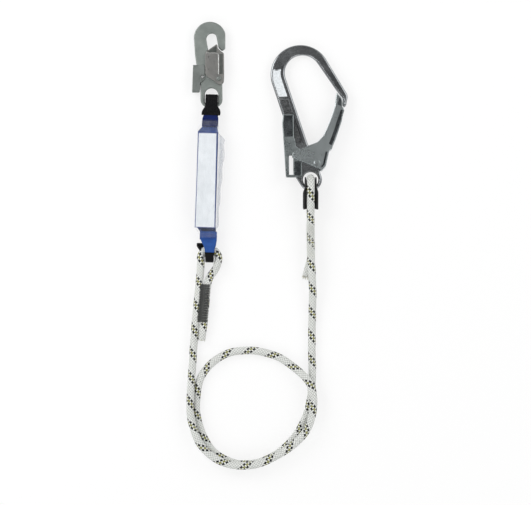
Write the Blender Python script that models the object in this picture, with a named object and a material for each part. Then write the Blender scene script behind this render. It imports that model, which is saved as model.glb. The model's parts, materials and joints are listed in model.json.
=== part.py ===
"""Shock absorbing lanyard, laid out flat: snap hook, energy absorber, kernmantle rope, scaffold hook.

Lengths are in millimetres and angles in degrees, and MM turns lengths into metres.
The floor is Z = 0, X runs to the right and Y up along the lanyard.
"""

import math

import bmesh
import bpy
from mathutils import Vector
from mathutils.geometry import tessellate_polygon

MM = 0.001
GAP = 0.3  # between pieces that touch
RUN = 0.4  # side clearance of pieces that turn on each other
FAR = 400.0  # reach of a cutter past the piece it cuts

# Rope and its two eyes
ROPE_D = 11.5
ROPE_STEP = 27.0  # spacing of the tube's rings on the easy stretches
ROPE_TURN = 20.0  # most turn between rings
ROPE_SIDES_RESOLUTION = 3
SPLICE_WEB = 0.4
SPLICE_PLATE = 1.2
SPLICE_NEAR, SPLICE_FAR = 2.75, 9.0  # bed of thread over the standing strand and over the tail

# Thimble in the scaffold hook's ring
THIMBLE_WALL = 1.6
THIMBLE_FLANGE = 2.0
THIMBLE_RIM = 9.6  # flange height over the seat's inner face
THIMBLE_FLARE = 3.2  # how far the lips lean out along the legs
THIMBLE_FLARE_BEND = 0.8  # and round the bend, inside the ring
THIMBLE_STRAIGHT = 10.0
THIMBLE_LEG = 32.0
THIMBLE_PINCH = 5.5  # how far the upper leg comes down

# Energy absorber
TILT = -1.7  # lean of the absorber in plan
HINGE_X, HINGE_Y = 4.5, -104.8  # where the lower strap turns on the rope eye
WEBBING = 2.2
STRAP_WIDTH = 27.0
STRAP_NARROW = 15.0  # bunched width in the snap hook's eye
STRAP_PINCH = 10.0  # bunched width in the rope eye
SLEEVE_WALL = 0.6
PACK_WIDTH = 30.0
PACK_LENGTH = 140.0
PACK_LAYERS = 9
PACK_SHIFT = -7.6  # the pack lies left of the line between its loops
LAYER_GAP = 0.3
TONGUE = 12.5  # tail of the tear webbing sewn between the strap's plies
RAMP = 8.0
FILM = 0.5
FILM_CORNER = 1.0
FILM_OVERHANG = 17.0  # film past each end of the folded stack
FILM_FIN = 7.6  # loose film beside the pack
LABEL = (28.5, 142.0, 0.4)
TACK = (22.0, 8.0, 0.8)
LOWER_EYE_HALF = 7.25  # half the space inside the lower strap
LOWER_BEND = 7.8  # centre of the lower bend below the hinge
LOWER_RISE = 15.0  # from the hinge to where the plies close

# Snap hook
SNAP_X = -3.9  # of the eye bar, beside the absorber's line
SNAP_PLATE = 6.0
SNAP_EDGE = 1.5
SNAP_BAR = 6.0
SNAP_EYE = (20.0, 23.0)  # hole width and height
SNAP_EYE_CORNER = 1.2
SNAP_EYE_OUTER = 33.0
SNAP_BAR_CLEAR = 0.8
SNAP_BEND = 9.6  # centre of the upper bend past the bar
SNAP_FALL = 19.3  # from where the plies close to the bar
SNAP_BOWL_R, SNAP_BOWL_X, SNAP_BOWL_Y = 24.0, -2.4, 101.7
SNAP_THROAT_R, SNAP_THROAT_X, SNAP_THROAT_Y = 8.4, 0.6, 99.8
SNAP_SHEET = 1.3
SNAP_GATE_PIVOT = (11.0, 40.0)
SNAP_GATE_HUB = 5.5
SNAP_LEVER_PIVOT = (-13.5, 42.75)
SNAP_RIVET_R = 2.2
SNAP_HEAD_R, SNAP_HEAD = 3.6, 1.0

# Scaffold hook, measured from the centre of its ring
RING_X, RING_Y = 155.5, 0.0
RING_HOLE_R = 11.5
RING_BAR = 5.5
HOOK_PLATE = 8.6
HOOK_EDGE = 2.0
BORE_EDGE = 0.4
RING_CLEAR = 0.7  # between the ring's faces and the thimble's seat
BOWL_IN_R, BOWL_IN_X, BOWL_IN_Y = 26.7, -11.85, 161.2
BOWL_OUT_R, BOWL_OUT_X, BOWL_OUT_Y = 45.0, -14.85, 158.2
SPINE_LEAN = 18.4
ARM_LEAN = 34.5
ARM_LENGTH = 53.5
HOOK_SHEET = 1.8
GATE_PIVOT = (9.3, 24.0)
GATE_HUB = 9.8
LEVER_PIVOT = (-18.5, 35.4)
LEVER_STAND = (4.9, 6.3, 10.0, 13.8)  # lever's back from the spine, from its top down
HOOK_RIVET_R = 3.0
HOOK_HEAD_R, HOOK_HEAD = 5.0, 1.2
LEVER_WINDOW = (-32.2, -25.6, 6.8, 37.0)  # left, right, bottom, top

# Springs
TORSION_WIRE = 0.4  # radius
TORSION_TURNS = 1.25
COIL_WIRE = 0.4  # radius
COIL_TURNS = 3.5
COIL_STEPS = 10  # rings in a turn
SNAP_COIL_R = 2.3
HOOK_COIL_R = 3.0
SNAP_COIL_AT = 27.0  # height of the lever spring up the hook
HOOK_COIL_AT = 64.0

ROUND = 20  # sides of round pieces

# Where the rope lies, as (x, y, height over the floor), from its sewn tail at the absorber on
TAIL_ROUTE = [
    (-7.8, -238.5, 1.0), (-6.0, -224, 1.6), (-4.35, -213, 2.05), (-1.72, -185, 2.05), (0.9, -157.5, 2.05),
    (4.8, -145, 2.9), (13.5, -133, 3.9),
]
LEFT_EYE_X, LEFT_EYE_Y, LEFT_EYE_R = 4.2, -117.5, 13.5
RUN_ROUTE = [
    (-9.4, -131, 4.1), (-10.2, -144, 2.9), (-11.55, -156.3, 2.05), (-14.17, -184, 2.05),
    (-16.8, -211.8, 2.05), (-20, -250, 0.4), (-22, -284, 1.6), (-24.2, -322, 8.1), (-23.2, -358, 9.6),
    (-8, -397.5, 11.5),
    (25.8, -423, 12), (71.7, -426, 12), (117.3, -405, 12), (148.2, -376.5, 12), (159.6, -340, 12),
    (155, -306, 11.6), (131.9, -282, 3.3), (104, -264.5, 0.1), (65.3, -255.9, 0), (26, -262.5, 0),
    (-5, -289, 0), (-15.3, -325, 0), (-12.5, -365, 0), (8, -406, 0), (46, -426, 0), (88, -420.5, 0),
    (126, -393, 0), (150, -352, 0), (158, -305, 0), (157.6, -250, 0), (158.2, -205, 0.9), (158.8, -170, 5.8),
    (157.6, -140, 11.3), (156.2, -117, 12.5), (155.85, -91, 12.5), (155.5, -66, 12.5),
]
END_ROUTE = [
    (155.5, -40, 0), (155.5, -66, 0), (155.85, -91, 0), (156.2, -117, 0), (152.5, -131, 0), (149.5, -143, 0),
]
LEFT_SPLICE = (-157.5, -212.0)  # top and foot of each splice
RIGHT_SPLICE = (-68.0, -116.0)

# What follows from the sizes above
ROPE_R = ROPE_D / 2
STRAP_HALF = WEBBING / 2
PLY = STRAP_HALF + GAP + SLEEVE_WALL + GAP  # strap's middle out past its sleeve
THIMBLE_R = HOOK_PLATE / 2 + RING_CLEAR
EYE_R = THIMBLE_R + THIMBLE_WALL + GAP + ROPE_R
RING_Z = EYE_R + ROPE_R
EYE_CENTRE_Y = RING_Y - EYE_R + 2.25
HOOK_REACH = BOWL_OUT_Y + BOWL_OUT_R
BAR_MIDDLE = RING_HOLE_R + RING_BAR / 2
HOOK_TILT = math.degrees(math.asin((RING_Z - HOOK_PLATE / 2 - GAP) / (HOOK_REACH + BAR_MIDDLE)))
HOOK_Z = RING_Z - BAR_MIDDLE * math.sin(math.radians(HOOK_TILT))
LOWER_HALF = LOWER_EYE_HALF + SLEEVE_WALL + GAP + STRAP_HALF
HINGE_Z = LOWER_HALF + PLY - GAP
UPPER_HALF = SNAP_BAR / 2 + SNAP_BAR_CLEAR + SLEEVE_WALL + GAP + STRAP_HALF
SNAP_Z = UPPER_HALF + PLY
LAYER_PITCH = WEBBING + LAYER_GAP
STACK_Z = FILM + GAP + STRAP_HALF
STACK_TOP = STACK_Z + (PACK_LAYERS - 1) * LAYER_PITCH
TONGUE_Z = 10.0
PLY_OFFSET = WEBBING + RUN
STACK_START = LOWER_RISE + TONGUE + 2 * GAP + RAMP
STACK_END = STACK_START + PACK_LENGTH
UPPER_CLOSE = STACK_END + RAMP + 2 * GAP + TONGUE
SNAP_Y = UPPER_CLOSE + SNAP_FALL
GATE_IN_SNAP = SNAP_PLATE / 2 + 2 * RUN + SNAP_SHEET
GATE_IN_HOOK = HOOK_PLATE / 2 + 2 * RUN + HOOK_SHEET
HOOK_COIL_LENGTH = LEVER_STAND[2] * math.cos(math.radians(SPINE_LEAN)) - HOOK_SHEET - 2 * GAP - 1.2


def look(name, colour, roughness, metallic=0.0):
    material = bpy.data.materials.new(name)
    material.use_nodes = True
    shader = material.node_tree.nodes["Principled BSDF"]
    shader.inputs["Base Color"].default_value = (*colour, 1.0)
    shader.inputs["Roughness"].default_value = roughness
    shader.inputs["Metallic"].default_value = metallic
    return material


def frame(name, place, parent=None, turn=(0.0, 0.0, 0.0)):
    """An empty that carries a group of pieces, with its origin on their joint."""
    empty = bpy.data.objects.new(name, None)
    empty.location = [MM * value for value in place]
    empty.rotation_euler = [math.radians(angle) for angle in turn]
    empty.parent = parent
    bpy.context.scene.collection.objects.link(empty)
    return empty


def add(name, data, material, parent, at=(0.0, 0.0, 0.0)):
    piece = bpy.data.objects.new(name, data)
    piece.parent = parent
    piece.location = [MM * value for value in at]
    data.materials.append(material)
    bpy.context.scene.collection.objects.link(piece)
    return piece


def mesh_of(name, shape):
    bmesh.ops.recalc_face_normals(shape, faces=shape.faces)
    mesh = bpy.data.meshes.new(name)
    shape.to_mesh(mesh)
    shape.free()
    mesh.shade_smooth()
    mesh.set_sharp_from_angle(angle=math.radians(35))
    return mesh


def arc(centre, radius, start, end, steps):
    angles = [math.radians(start + (end - start) * i / steps) for i in range(steps + 1)]
    return [(centre[0] + radius * math.cos(a), centre[1] + radius * math.sin(a)) for a in angles]


def circle(centre, radius, steps=ROUND):
    return arc(centre, radius, 0, 360, steps)[:-1]


def shifted(points, centre):
    return [(x - centre[0], y - centre[1]) for x, y in points]


def prism_mesh(name, outline, low, high):
    """An outline in X and Y raised from low to high."""
    shape = bmesh.new()
    rings = [[shape.verts.new((x * MM, y * MM, z * MM)) for x, y in outline] for z in (low, high)]
    for ring in rings:
        shape.faces.new(ring)
    count = len(outline)
    for i in range(count):
        k = (i + 1) % count
        shape.faces.new((rings[0][i], rings[0][k], rings[1][k], rings[1][i]))
    return mesh_of(name, shape)


def swept_mesh(name, path, sections):
    """Carries a section along a path of (y, z) points.

    sections holds, for each point, one or two closed loops of (x, n), with n to the path's right-hand
    side; the second loop is a hollow inside the first.
    """
    shape = bmesh.new()
    stations = []
    for i, (y, z) in enumerate(path):
        before = Vector(path[max(i - 1, 0)])
        after = Vector(path[min(i + 1, len(path) - 1)])
        here = Vector((y, z))
        run_in = (here - before).normalized() if i else (after - here).normalized()
        run_out = (after - here).normalized() if i < len(path) - 1 else run_in
        along = (run_in + run_out).normalized()
        side = Vector((along.y, -along.x)) / max(along.dot(run_in), 0.3)
        stations.append(
            [
                [shape.verts.new((x * MM, (y + n * side.x) * MM, (z + n * side.y) * MM)) for x, n in loop]
                for loop in sections[i]
            ]
        )
    for first, second in zip(stations, stations[1:]):
        for a, b in zip(first, second):
            for i in range(len(a)):
                k = (i + 1) % len(a)
                shape.faces.new((a[i], a[k], b[k], b[i]))
    for end in (stations[0], stations[-1]):
        if len(end) == 1:
            shape.faces.new(end[0])
            continue
        outer, inner = end
        for i in range(len(outer)):
            k = (i + 1) % len(outer)
            shape.faces.new((outer[i], outer[k], inner[k], inner[i]))
    return mesh_of(name, shape)


def box_loop(centre, width, thick):
    left, right, half = centre - width / 2, centre + width / 2, thick / 2
    return [(left, -half), (right, -half), (right, half), (left, half)]


def turned_mesh(name, profile):
    """A profile of (radius, z) turned about Z, with its first and last points closed by flat ends."""
    shape = bmesh.new()
    rings = []
    for radius, z in profile:
        rings.append([shape.verts.new((x * MM, y * MM, z * MM)) for x, y in circle((0, 0), radius)])
    for low, high in zip(rings, rings[1:]):
        for i in range(ROUND):
            k = (i + 1) % ROUND
            shape.faces.new((low[i], low[k], high[k], high[i]))
    shape.faces.new(rings[0])
    shape.faces.new(rings[-1])
    return mesh_of(name, shape)


def wire_curve(name, points, radius, resolution):
    """A round wire or rope along a chain of points."""
    curve = bpy.data.curves.new(name, "CURVE")
    curve.dimensions = "3D"
    curve.bevel_depth = radius * MM
    curve.bevel_resolution = resolution
    curve.use_fill_caps = True
    spline = curve.splines.new("POLY")
    spline.points.add(len(points) - 1)
    for point, place in zip(spline.points, points):
        point.co = (*[MM * value for value in place], 1.0)
    return curve


def grown(loop, by):
    """A closed loop of points, run anticlockwise, moved outwards."""
    moved = []
    for i, point in enumerate(loop):
        here = Vector(point)
        run_in = (here - Vector(loop[i - 1])).normalized()
        run_out = (Vector(loop[(i + 1) % len(loop)]) - here).normalized()
        along = (run_in + run_out).normalized()
        side = Vector((along.y, -along.x)) / max(along.dot(run_in), 0.5)
        moved.append(here + by * side)
    return moved


def plate_mesh(name, outline, holes, thick, edge):
    """A forged plate with rounded edges: an outline, holes as (loop, edge), all run anticlockwise."""
    shape = bmesh.new()
    half = thick / 2
    steps = [(1.0, half), (0.3, half - edge * 0.3), (0.0, half - edge)]
    steps = [(by, -z) for by, z in steps] + steps[::-1]
    levels = []
    for by, z in steps:
        loops = [grown(outline, -by * edge), *(grown(hole, by * bevel) for hole, bevel in holes)]
        levels.append([[shape.verts.new((x * MM, y * MM, z * MM)) for x, y in loop] for loop in loops])
    for low, high in zip(levels, levels[1:]):
        for a, b in zip(low, high):
            for i in range(len(a)):
                k = (i + 1) % len(a)
                shape.faces.new((a[i], a[k], b[k], b[i]))
    for level in (levels[0], levels[-1]):
        points = [vert for loop in level for vert in loop]
        for corners in tessellate_polygon([[vert.co for vert in loop] for loop in level]):
            shape.faces.new([points[corner] for corner in corners])
    return mesh_of(name, shape)


def cut(piece, cutter):
    cutter.hide_render = True
    cutter.display_type = "WIRE"
    modifier = piece.modifiers.new("cut " + cutter.name, "BOOLEAN")
    modifier.operation = "DIFFERENCE"
    modifier.solver = "EXACT"
    modifier.object = cutter


def inset(path, by):
    """A chain of points moved to its right-hand side."""
    moved = []
    for i, point in enumerate(path):
        here = Vector(point)
        run_in = (here - Vector(path[i - 1])).normalized() if i else None
        run_out = (Vector(path[i + 1]) - here).normalized() if i < len(path) - 1 else None
        run_in = run_in or run_out
        run_out = run_out or run_in
        along = (run_in + run_out).normalized()
        side = Vector((along.y, -along.x)) / max(along.dot(run_in), 0.3)
        moved.append(tuple(here + by * side))
    return moved


def channel(name, outline, web, sheet, inside, bores, open_side, material, parent):
    """A pressed channel: two cheeks of one outline, joined by a web that follows part of its edge.

    web runs down the joined edge, inside is half the space between the cheeks, and open_side is the way
    (-1 left, 1 right) that the channel opens.
    """
    blank = add(name, prism_mesh(name, outline, -inside - sheet, inside + sheet), material, parent)
    path = inset(web, sheet) if open_side < 0 else inset(web, -sheet)
    top, bottom = path[0], path[-1]
    back, front = -open_side * FAR, open_side * FAR
    space = [(back, FAR), (back, top[1]), *path, (back, bottom[1]), (back, -FAR), (front, -FAR), (front, FAR)]
    cut(blank, add(name + "_space", prism_mesh(name + "_space", space, -inside, inside), material, parent))
    for number, bore in enumerate(bores):
        tool = prism_mesh(f"{name}_bore{number}", bore, -FAR, FAR)
        cut(blank, add(f"{name}_bore{number}", tool, material, parent))
    return blank


def rivet(name, radius, reach, head_radius, head, material, parent):
    profile = [(radius, -reach), (radius, reach)]
    if head:
        dome = head_radius * 0.72
        profile = [
            (dome, -reach - head), (head_radius, -reach - head * 0.4), (head_radius, -reach),
            (radius, -reach), (radius, reach),
            (head_radius, reach), (head_radius, reach + head * 0.4), (dome, reach + head),
        ]
    return add(name, turned_mesh(name, profile), material, parent)


def torsion_spring(name, radius, low, reach, lean, material, parent):
    """Turns about Z from low upwards, with a leg along the body and one up the gate."""
    pitch = 2 * TORSION_WIRE + 0.12
    steps = round(TORSION_TURNS * ROUND)
    points = []
    for i in range(steps + 1):
        angle = math.radians(lean + 360 * TORSION_TURNS * i / steps)
        height = low + TORSION_WIRE + pitch * TORSION_TURNS * i / steps
        points.append((radius * math.cos(angle), radius * math.sin(angle), height))
    for end, step, length in ((0, 1, reach * 0.5), (-1, -2, reach)):
        tip, next_tip = Vector(points[end]), Vector(points[step])
        away = tip - next_tip
        away.z = 0
        leg = tuple(tip + away.normalized() * length)
        points = [leg, *points] if end == 0 else [*points, leg]
    return add(name, wire_curve(name, points, TORSION_WIRE, 1), material, parent)


def coil_spring(name, start, end, radius, material, parent):
    """A compression spring between two points in the hook's plane."""
    start, end = Vector((*start, 0.0)), Vector((*end, 0.0))
    along = (end - start).normalized()
    side = Vector((-along.y, along.x, 0.0))
    steps = round(COIL_TURNS * COIL_STEPS)
    span = (end - start).length - 2 * COIL_WIRE
    points = []
    for i in range(steps + 1):
        angle = math.radians(360 * COIL_TURNS * i / steps)
        middle = start + along * (COIL_WIRE + span * i / steps)
        points.append(middle + radius * (math.cos(angle) * side + Vector((0, 0, math.sin(angle)))))
    return add(name, wire_curve(name, points, COIL_WIRE, 1), material, parent)


def smooth_route(points):
    """Points along a smooth curve through the route, closer together where it bends."""
    places = [Vector(point) for point in points]
    ends = [2 * places[0] - places[1], *places, 2 * places[-1] - places[-2]]
    path = []
    for i in range(len(places) - 1):
        a, b, c, d = ends[i : i + 4]
        tangent_b, tangent_c = (c - a) / 2, (d - b) / 2
        span = (c - b).length
        reach_b = min(1.0, span / max(tangent_b.length, 0.001))
        reach_c = min(1.0, span / max(tangent_c.length, 0.001))
        turn = math.degrees(tangent_b.angle(tangent_c))
        pieces = max(1, math.ceil(span / ROPE_STEP - 0.2), round(turn / ROPE_TURN))
        for k in range(pieces):
            t = k / pieces
            path.append(
                (2 * t**3 - 3 * t**2 + 1) * b
                + (t**3 - 2 * t**2 + t) * tangent_b * reach_b
                + (3 * t**2 - 2 * t**3) * c
                + (t**3 - t**2) * tangent_c * reach_c
            )
    return [*path, places[-1]]


def splice_stitching(name, head, foot, material):
    """Sewing that locks two strands: a thin web between them with a bed of thread on each side.

    head and foot each give the middles of the standing strand and of the tail.
    """
    shape = bmesh.new()
    rings = []
    inner = ROPE_R + GAP
    outer = inner + SPLICE_PLATE
    web = SPLICE_WEB / 2
    near, far = -SPLICE_NEAR, SPLICE_FAR
    section = [
        (near, -outer), (-near, -outer), (-near, -inner), (web, -inner), (web, inner), (far, inner),
        (far, outer), (near, outer), (near, inner), (-web, inner), (-web, -inner), (near, -inner),
    ]
    along = (Vector(foot[0]) - Vector(head[0])).normalized()
    for first, second in (head, foot):
        middle = (Vector(first) + Vector(second)) / 2
        across = Vector(second) - Vector(first)
        across = (across - across.dot(along) * along).normalized()
        up = along.cross(across)
        rings.append([shape.verts.new((middle + s * across + n * up) * MM) for s, n in section])
    for i in range(len(section)):
        k = (i + 1) % len(section)
        shape.faces.new((rings[0][i], rings[0][k], rings[1][k], rings[1][i]))
    for ring in rings:
        shape.faces.new(ring)
    return add(name, mesh_of(name, shape), material, None)


def strap_path(low_y, bend_y, half, middle_z, turn_y, close_y):
    """A strap's run: upper ply in, round a bend at bend_y and back along the lower ply."""
    way = 1 if bend_y > turn_y else -1
    bend = arc((bend_y, middle_z), half, 90, 90 - 180 * way, 8)
    upper = [(low_y, TONGUE_Z + PLY_OFFSET), (close_y, TONGUE_Z + PLY_OFFSET), (turn_y, middle_z + half)]
    lower = [(turn_y, middle_z - half), (close_y, TONGUE_Z - PLY_OFFSET), (low_y, TONGUE_Z - PLY_OFFSET)]
    return upper + bend + lower


def strap(name, path, widths, material, parent):
    """Webbing of one thickness; widths gives (centre, width) at each point of its path."""
    sections = [[box_loop(centre, width, WEBBING)] for centre, width in widths]
    return add(name, swept_mesh(name, path, sections), material, parent)


def wear_sleeve(name, path, widths, material, parent):
    """A woven tube over the bend of a strap."""
    thick = WEBBING + 2 * GAP
    wall = 2 * SLEEVE_WALL
    sections = [
        [box_loop(centre, width + 2 * GAP + wall, thick + wall), box_loop(centre, width + 2 * GAP, thick)]
        for centre, width in widths
    ]
    return add(name, swept_mesh(name, path, sections), material, parent)


def between(first, second, share):
    return tuple(a + (b - a) * share for a, b in zip(first, second))


def build_absorber(body, looks):
    lower = strap_path(
        LOWER_RISE + TONGUE, -LOWER_BEND, LOWER_HALF, HINGE_Z, LOWER_RISE - 10.0, LOWER_RISE
    )
    tail_x = PACK_SHIFT + 2.5
    ends = [(tail_x, STRAP_WIDTH), (tail_x, STRAP_WIDTH - 2.0), (0.0, STRAP_PINCH + 5.0)]
    bend = [(0.0, STRAP_PINCH)] * 9
    strap("lower_strap_loop", lower, ends + bend + ends[::-1], looks["webbing"], body)
    cover = [between(lower[2], lower[3], 0.7), *lower[3:12], between(lower[12], lower[11], 0.7)]
    cover_width = STRAP_PINCH + 1.5
    sizes = [(0.0, cover_width), *bend, (0.0, cover_width)]
    wear_sleeve("lower_wear_sleeve", cover, sizes, looks["sleeve"], body)

    upper = strap_path(
        UPPER_CLOSE - TONGUE, SNAP_Y + SNAP_BEND, UPPER_HALF, SNAP_Z, SNAP_Y - 8.0, UPPER_CLOSE
    )
    tail_x = PACK_SHIFT + 1.3
    ends = [(tail_x, STRAP_WIDTH), (tail_x, STRAP_WIDTH - 1.0), (SNAP_X, STRAP_NARROW + 1.2)]
    bend = [(SNAP_X, STRAP_NARROW)] * 9
    strap("upper_strap_loop", upper, ends + bend + ends[::-1], looks["webbing"], body)
    share = 0.55
    start, stop = between(upper[1], upper[2], share), between(upper[13], upper[12], share)
    edge = between(ends[1], ends[2], share)
    sizes = [edge, ends[2], *bend, ends[2], edge]
    wear_sleeve("upper_wear_sleeve", [start, *upper[2:13], stop], sizes, looks["sleeve"], body)

    fold = LAYER_PITCH / 2
    stack = [(LOWER_RISE + GAP, TONGUE_Z), (LOWER_RISE + TONGUE + GAP, TONGUE_Z), (STACK_START, STACK_Z)]
    for layer in range(PACK_LAYERS - 1):
        z = STACK_Z + (layer + 0.5) * LAYER_PITCH
        turn_y, way = (STACK_END, 1) if layer % 2 == 0 else (STACK_START, -1)
        stack += arc((turn_y, z), fold, -90, -90 + 180 * way, 4)
    stack += [(STACK_END, STACK_TOP), (STACK_END + RAMP, TONGUE_Z), (UPPER_CLOSE - GAP, TONGUE_Z)]
    widths = [(PACK_SHIFT, STRAP_WIDTH)] * 2
    widths += [(PACK_SHIFT, PACK_WIDTH)] * (len(stack) - 4)
    widths += [(PACK_SHIFT, STRAP_WIDTH)] * 2
    strap("tear_webbing_pack", stack, widths, looks["pack"], body)

    label_z = STACK_TOP + STRAP_HALF + GAP
    middle = (STACK_START + STACK_END) / 2
    outline = [(-LABEL[0] / 2, -LABEL[1] / 2), (LABEL[0] / 2, -LABEL[1] / 2)]
    outline += [(-x, -y) for x, y in outline]
    sheet = prism_mesh("label", outline, 0, LABEL[2])
    add("label", sheet, looks["label"], body, (PACK_SHIFT, middle, label_z))

    side = PACK_WIDTH / 2 + GAP + FILM
    roof = label_z + LABEL[2] + GAP + FILM
    in_x, top, bend = side - FILM_CORNER, roof - FILM_CORNER, FILM_CORNER
    film = arc((in_x, top), bend, 45, 90, 2) + arc((-in_x, top), bend, 90, 180, 3)
    film += arc((-in_x, bend), bend, 180, 270, 3) + arc((in_x, bend), bend, -90, -45, 2)
    film += [(side + FILM_FIN, roof * 0.42), (side + FILM_FIN, roof * 0.5)]
    lining = inset([film[-1], *film, film[0]], -FILM)[1:-1]
    run = [(STACK_START - FILM_OVERHANG, 0.0), (STACK_END + FILM_OVERHANG, 0.0)]
    loops = [[(PACK_SHIFT + x, -z) for x, z in loop] for loop in (film, lining)]
    add("clear_sleeve", swept_mesh("clear_sleeve", run, [loops, loops]), looks["film"], body)

    for name, y, x in (
        ("lower_bar_tack", LOWER_RISE + TONGUE / 2, PACK_SHIFT + 2.5),
        ("upper_bar_tack", UPPER_CLOSE - TONGUE / 2, PACK_SHIFT + 1.3),
    ):
        width, length, thick = TACK
        outline = [(-width / 2, -length / 2), (width / 2, -length / 2)]
        outline += [(-a, -b) for a, b in outline]
        sewing = prism_mesh(name, outline, 0, thick)
        add(name, sewing, looks["thread"], body, (x, y, TONGUE_Z + PLY_OFFSET + STRAP_HALF + GAP))


def snap_outline():
    half, corner = SNAP_EYE_OUTER / 2, 12.0
    low = -SNAP_BAR / 2
    outline = arc((corner - half, low + corner), corner, 180, 270, 5)
    outline += arc((half - corner, low + corner), corner, 270, 360, 5)
    outline += arc(SNAP_GATE_PIVOT, SNAP_GATE_HUB, -20, 110, 5)
    outline += [(-4.5, 53.0), (-5.0, 83.0)]
    outline += arc((SNAP_THROAT_X, SNAP_THROAT_Y), SNAP_THROAT_R, 186, 40, 8)
    outline += [(10.5, 86.85), (15.75, 81.6), (20.7, 85.0)]
    outline += arc((SNAP_BOWL_X, SNAP_BOWL_Y), SNAP_BOWL_R, 15, 190, 14)
    outline += [(-24.9, 77.25), (-22.8, 62.85), (-18.0, 45.0), (-half, 32.0)]
    return outline


def build_snap_hook(body, gate, lever, looks):
    width, height = SNAP_EYE
    low, corner = SNAP_BAR / 2, SNAP_EYE_CORNER
    dome = width / 2
    eye = arc((corner - dome, low + corner), corner, 180, 270, 3)
    eye += arc((dome - corner, low + corner), corner, 270, 360, 3)
    eye += arc((0.0, low + height - dome), dome, 0, 180, 10)
    holes = [(eye, SNAP_EDGE)]
    for pivot in (SNAP_GATE_PIVOT, SNAP_LEVER_PIVOT):
        holes.append((circle(pivot, SNAP_RIVET_R + GAP, 14), BORE_EDGE))
    plate = plate_mesh("snap_hook_body", snap_outline(), holes, SNAP_PLATE, SNAP_EDGE)
    add("snap_hook_body", plate, looks["zinc"], body)

    web = [(15.2, 80.2), (18.6, 78.5), (18.9, 45.0), (18.4, 36.0)]
    outline = [(7.6, 91.5), (-5.1, 82.6), (-9.3, 78.5), (-9.3, 46.0), (-5.0, 41.5), (3.0, 37.5), (8.0, 32.5)]
    outline += [(12.5, 30.5), (15.5, 31.5), *web[::-1], (9.4, 85.6), (9.0, 91.0)]
    bore = [circle((0.0, 0.0), SNAP_RIVET_R + GAP, 14)]
    channel(
        "snap_gate", shifted(outline, SNAP_GATE_PIVOT), shifted(web, SNAP_GATE_PIVOT), SNAP_SHEET,
        GATE_IN_SNAP, bore, -1, looks["zinc"], gate,
    )
    web = [(-27.6, 60.6), (-29.0, 20.0)]
    outline = [*web, (-18.0, 20.0), (-16.6, 34.0), (-9.8, 38.5), (-9.8, 60.6)]
    channel(
        "snap_lock_lever", shifted(outline, SNAP_LEVER_PIVOT), shifted(web, SNAP_LEVER_PIVOT), SNAP_SHEET,
        SNAP_PLATE / 2 + RUN, bore, 1, looks["zinc_dark"], lever,
    )
    reach = GATE_IN_SNAP + SNAP_SHEET + GAP
    pin = rivet("snap_gate_rivet", SNAP_RIVET_R, reach, SNAP_HEAD_R, SNAP_HEAD, looks["rivet"], body)
    pin.location = (SNAP_GATE_PIVOT[0] * MM, SNAP_GATE_PIVOT[1] * MM, 0)
    reach = SNAP_PLATE / 2 + RUN + SNAP_SHEET
    pin = rivet("snap_lever_rivet", SNAP_RIVET_R, reach, 0, 0, looks["rivet"], body)
    pin.location = (SNAP_LEVER_PIVOT[0] * MM, SNAP_LEVER_PIVOT[1] * MM, 0)
    ring = SNAP_RIVET_R + GAP + TORSION_WIRE
    spring = torsion_spring("snap_gate_spring", ring, SNAP_PLATE / 2 + 0.1, 12.0, -84, looks["spring"], body)
    spring.location = (SNAP_GATE_PIVOT[0] * MM, SNAP_GATE_PIVOT[1] * MM, 0)
    share = (SNAP_COIL_AT - web[1][1]) / (web[0][1] - web[1][1])
    seat = (between(web[1], web[0], share)[0] + SNAP_SHEET + GAP, SNAP_COIL_AT)
    stop = (-SNAP_EYE_OUTER / 2 - GAP, SNAP_COIL_AT)
    coil_spring("snap_lever_spring", seat, stop, SNAP_COIL_R, looks["spring"], body)


def unit(angle):
    return Vector((math.cos(math.radians(angle)), math.sin(math.radians(angle))))


def scaffold_outline():
    inner, outer = Vector((BOWL_IN_X, BOWL_IN_Y)), Vector((BOWL_OUT_X, BOWL_OUT_Y))
    spine_out, arm_out = unit(180 + SPINE_LEAN), unit(ARM_LEAN)
    spine_down, arm_down = unit(SPINE_LEAN - 90), unit(ARM_LEAN - 90)
    nose = inner + BOWL_IN_R * arm_out + ARM_LENGTH * arm_down
    ring_out = RING_HOLE_R + RING_BAR
    outline = arc((0.0, 0.0), ring_out, -145, 30, 11)
    outline += arc(GATE_PIVOT, GATE_HUB, -62, 75, 7)
    foot = inner + BOWL_IN_R * spine_out
    outline += [tuple(foot + spine_down * (foot.y - 53.0) / -spine_down.y)]
    outline += arc(tuple(inner), BOWL_IN_R, 180 + SPINE_LEAN, ARM_LEAN, 12)
    outline += [tuple(nose), tuple(nose + Vector((8.0, -10.0))), tuple(nose + Vector((8.2, -21.8)))]
    outline += [tuple(nose + Vector((10.5, -23.4))), tuple(nose + Vector((13.0, -20.5)))]
    outline += [tuple(nose + Vector((15.4, -8.0))), tuple(nose + Vector((14.6, -3.5)))]
    outline += arc(tuple(outer), BOWL_OUT_R, ARM_LEAN, 180 + SPINE_LEAN, 18)
    heel = outer + BOWL_OUT_R * spine_out
    outline += [tuple(heel + spine_down * (heel.y - 48.0) / -spine_down.y), (-26.0, 40.0), (-26.0, 9.0)]
    return outline, nose


def spine_edge(height):
    """Where the scaffold hook's outer spine edge is at a height up the hook."""
    outer = Vector((BOWL_OUT_X, BOWL_OUT_Y)) + BOWL_OUT_R * unit(180 + SPINE_LEAN)
    return outer.x + (outer.y - height) * math.tan(math.radians(SPINE_LEAN))


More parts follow.
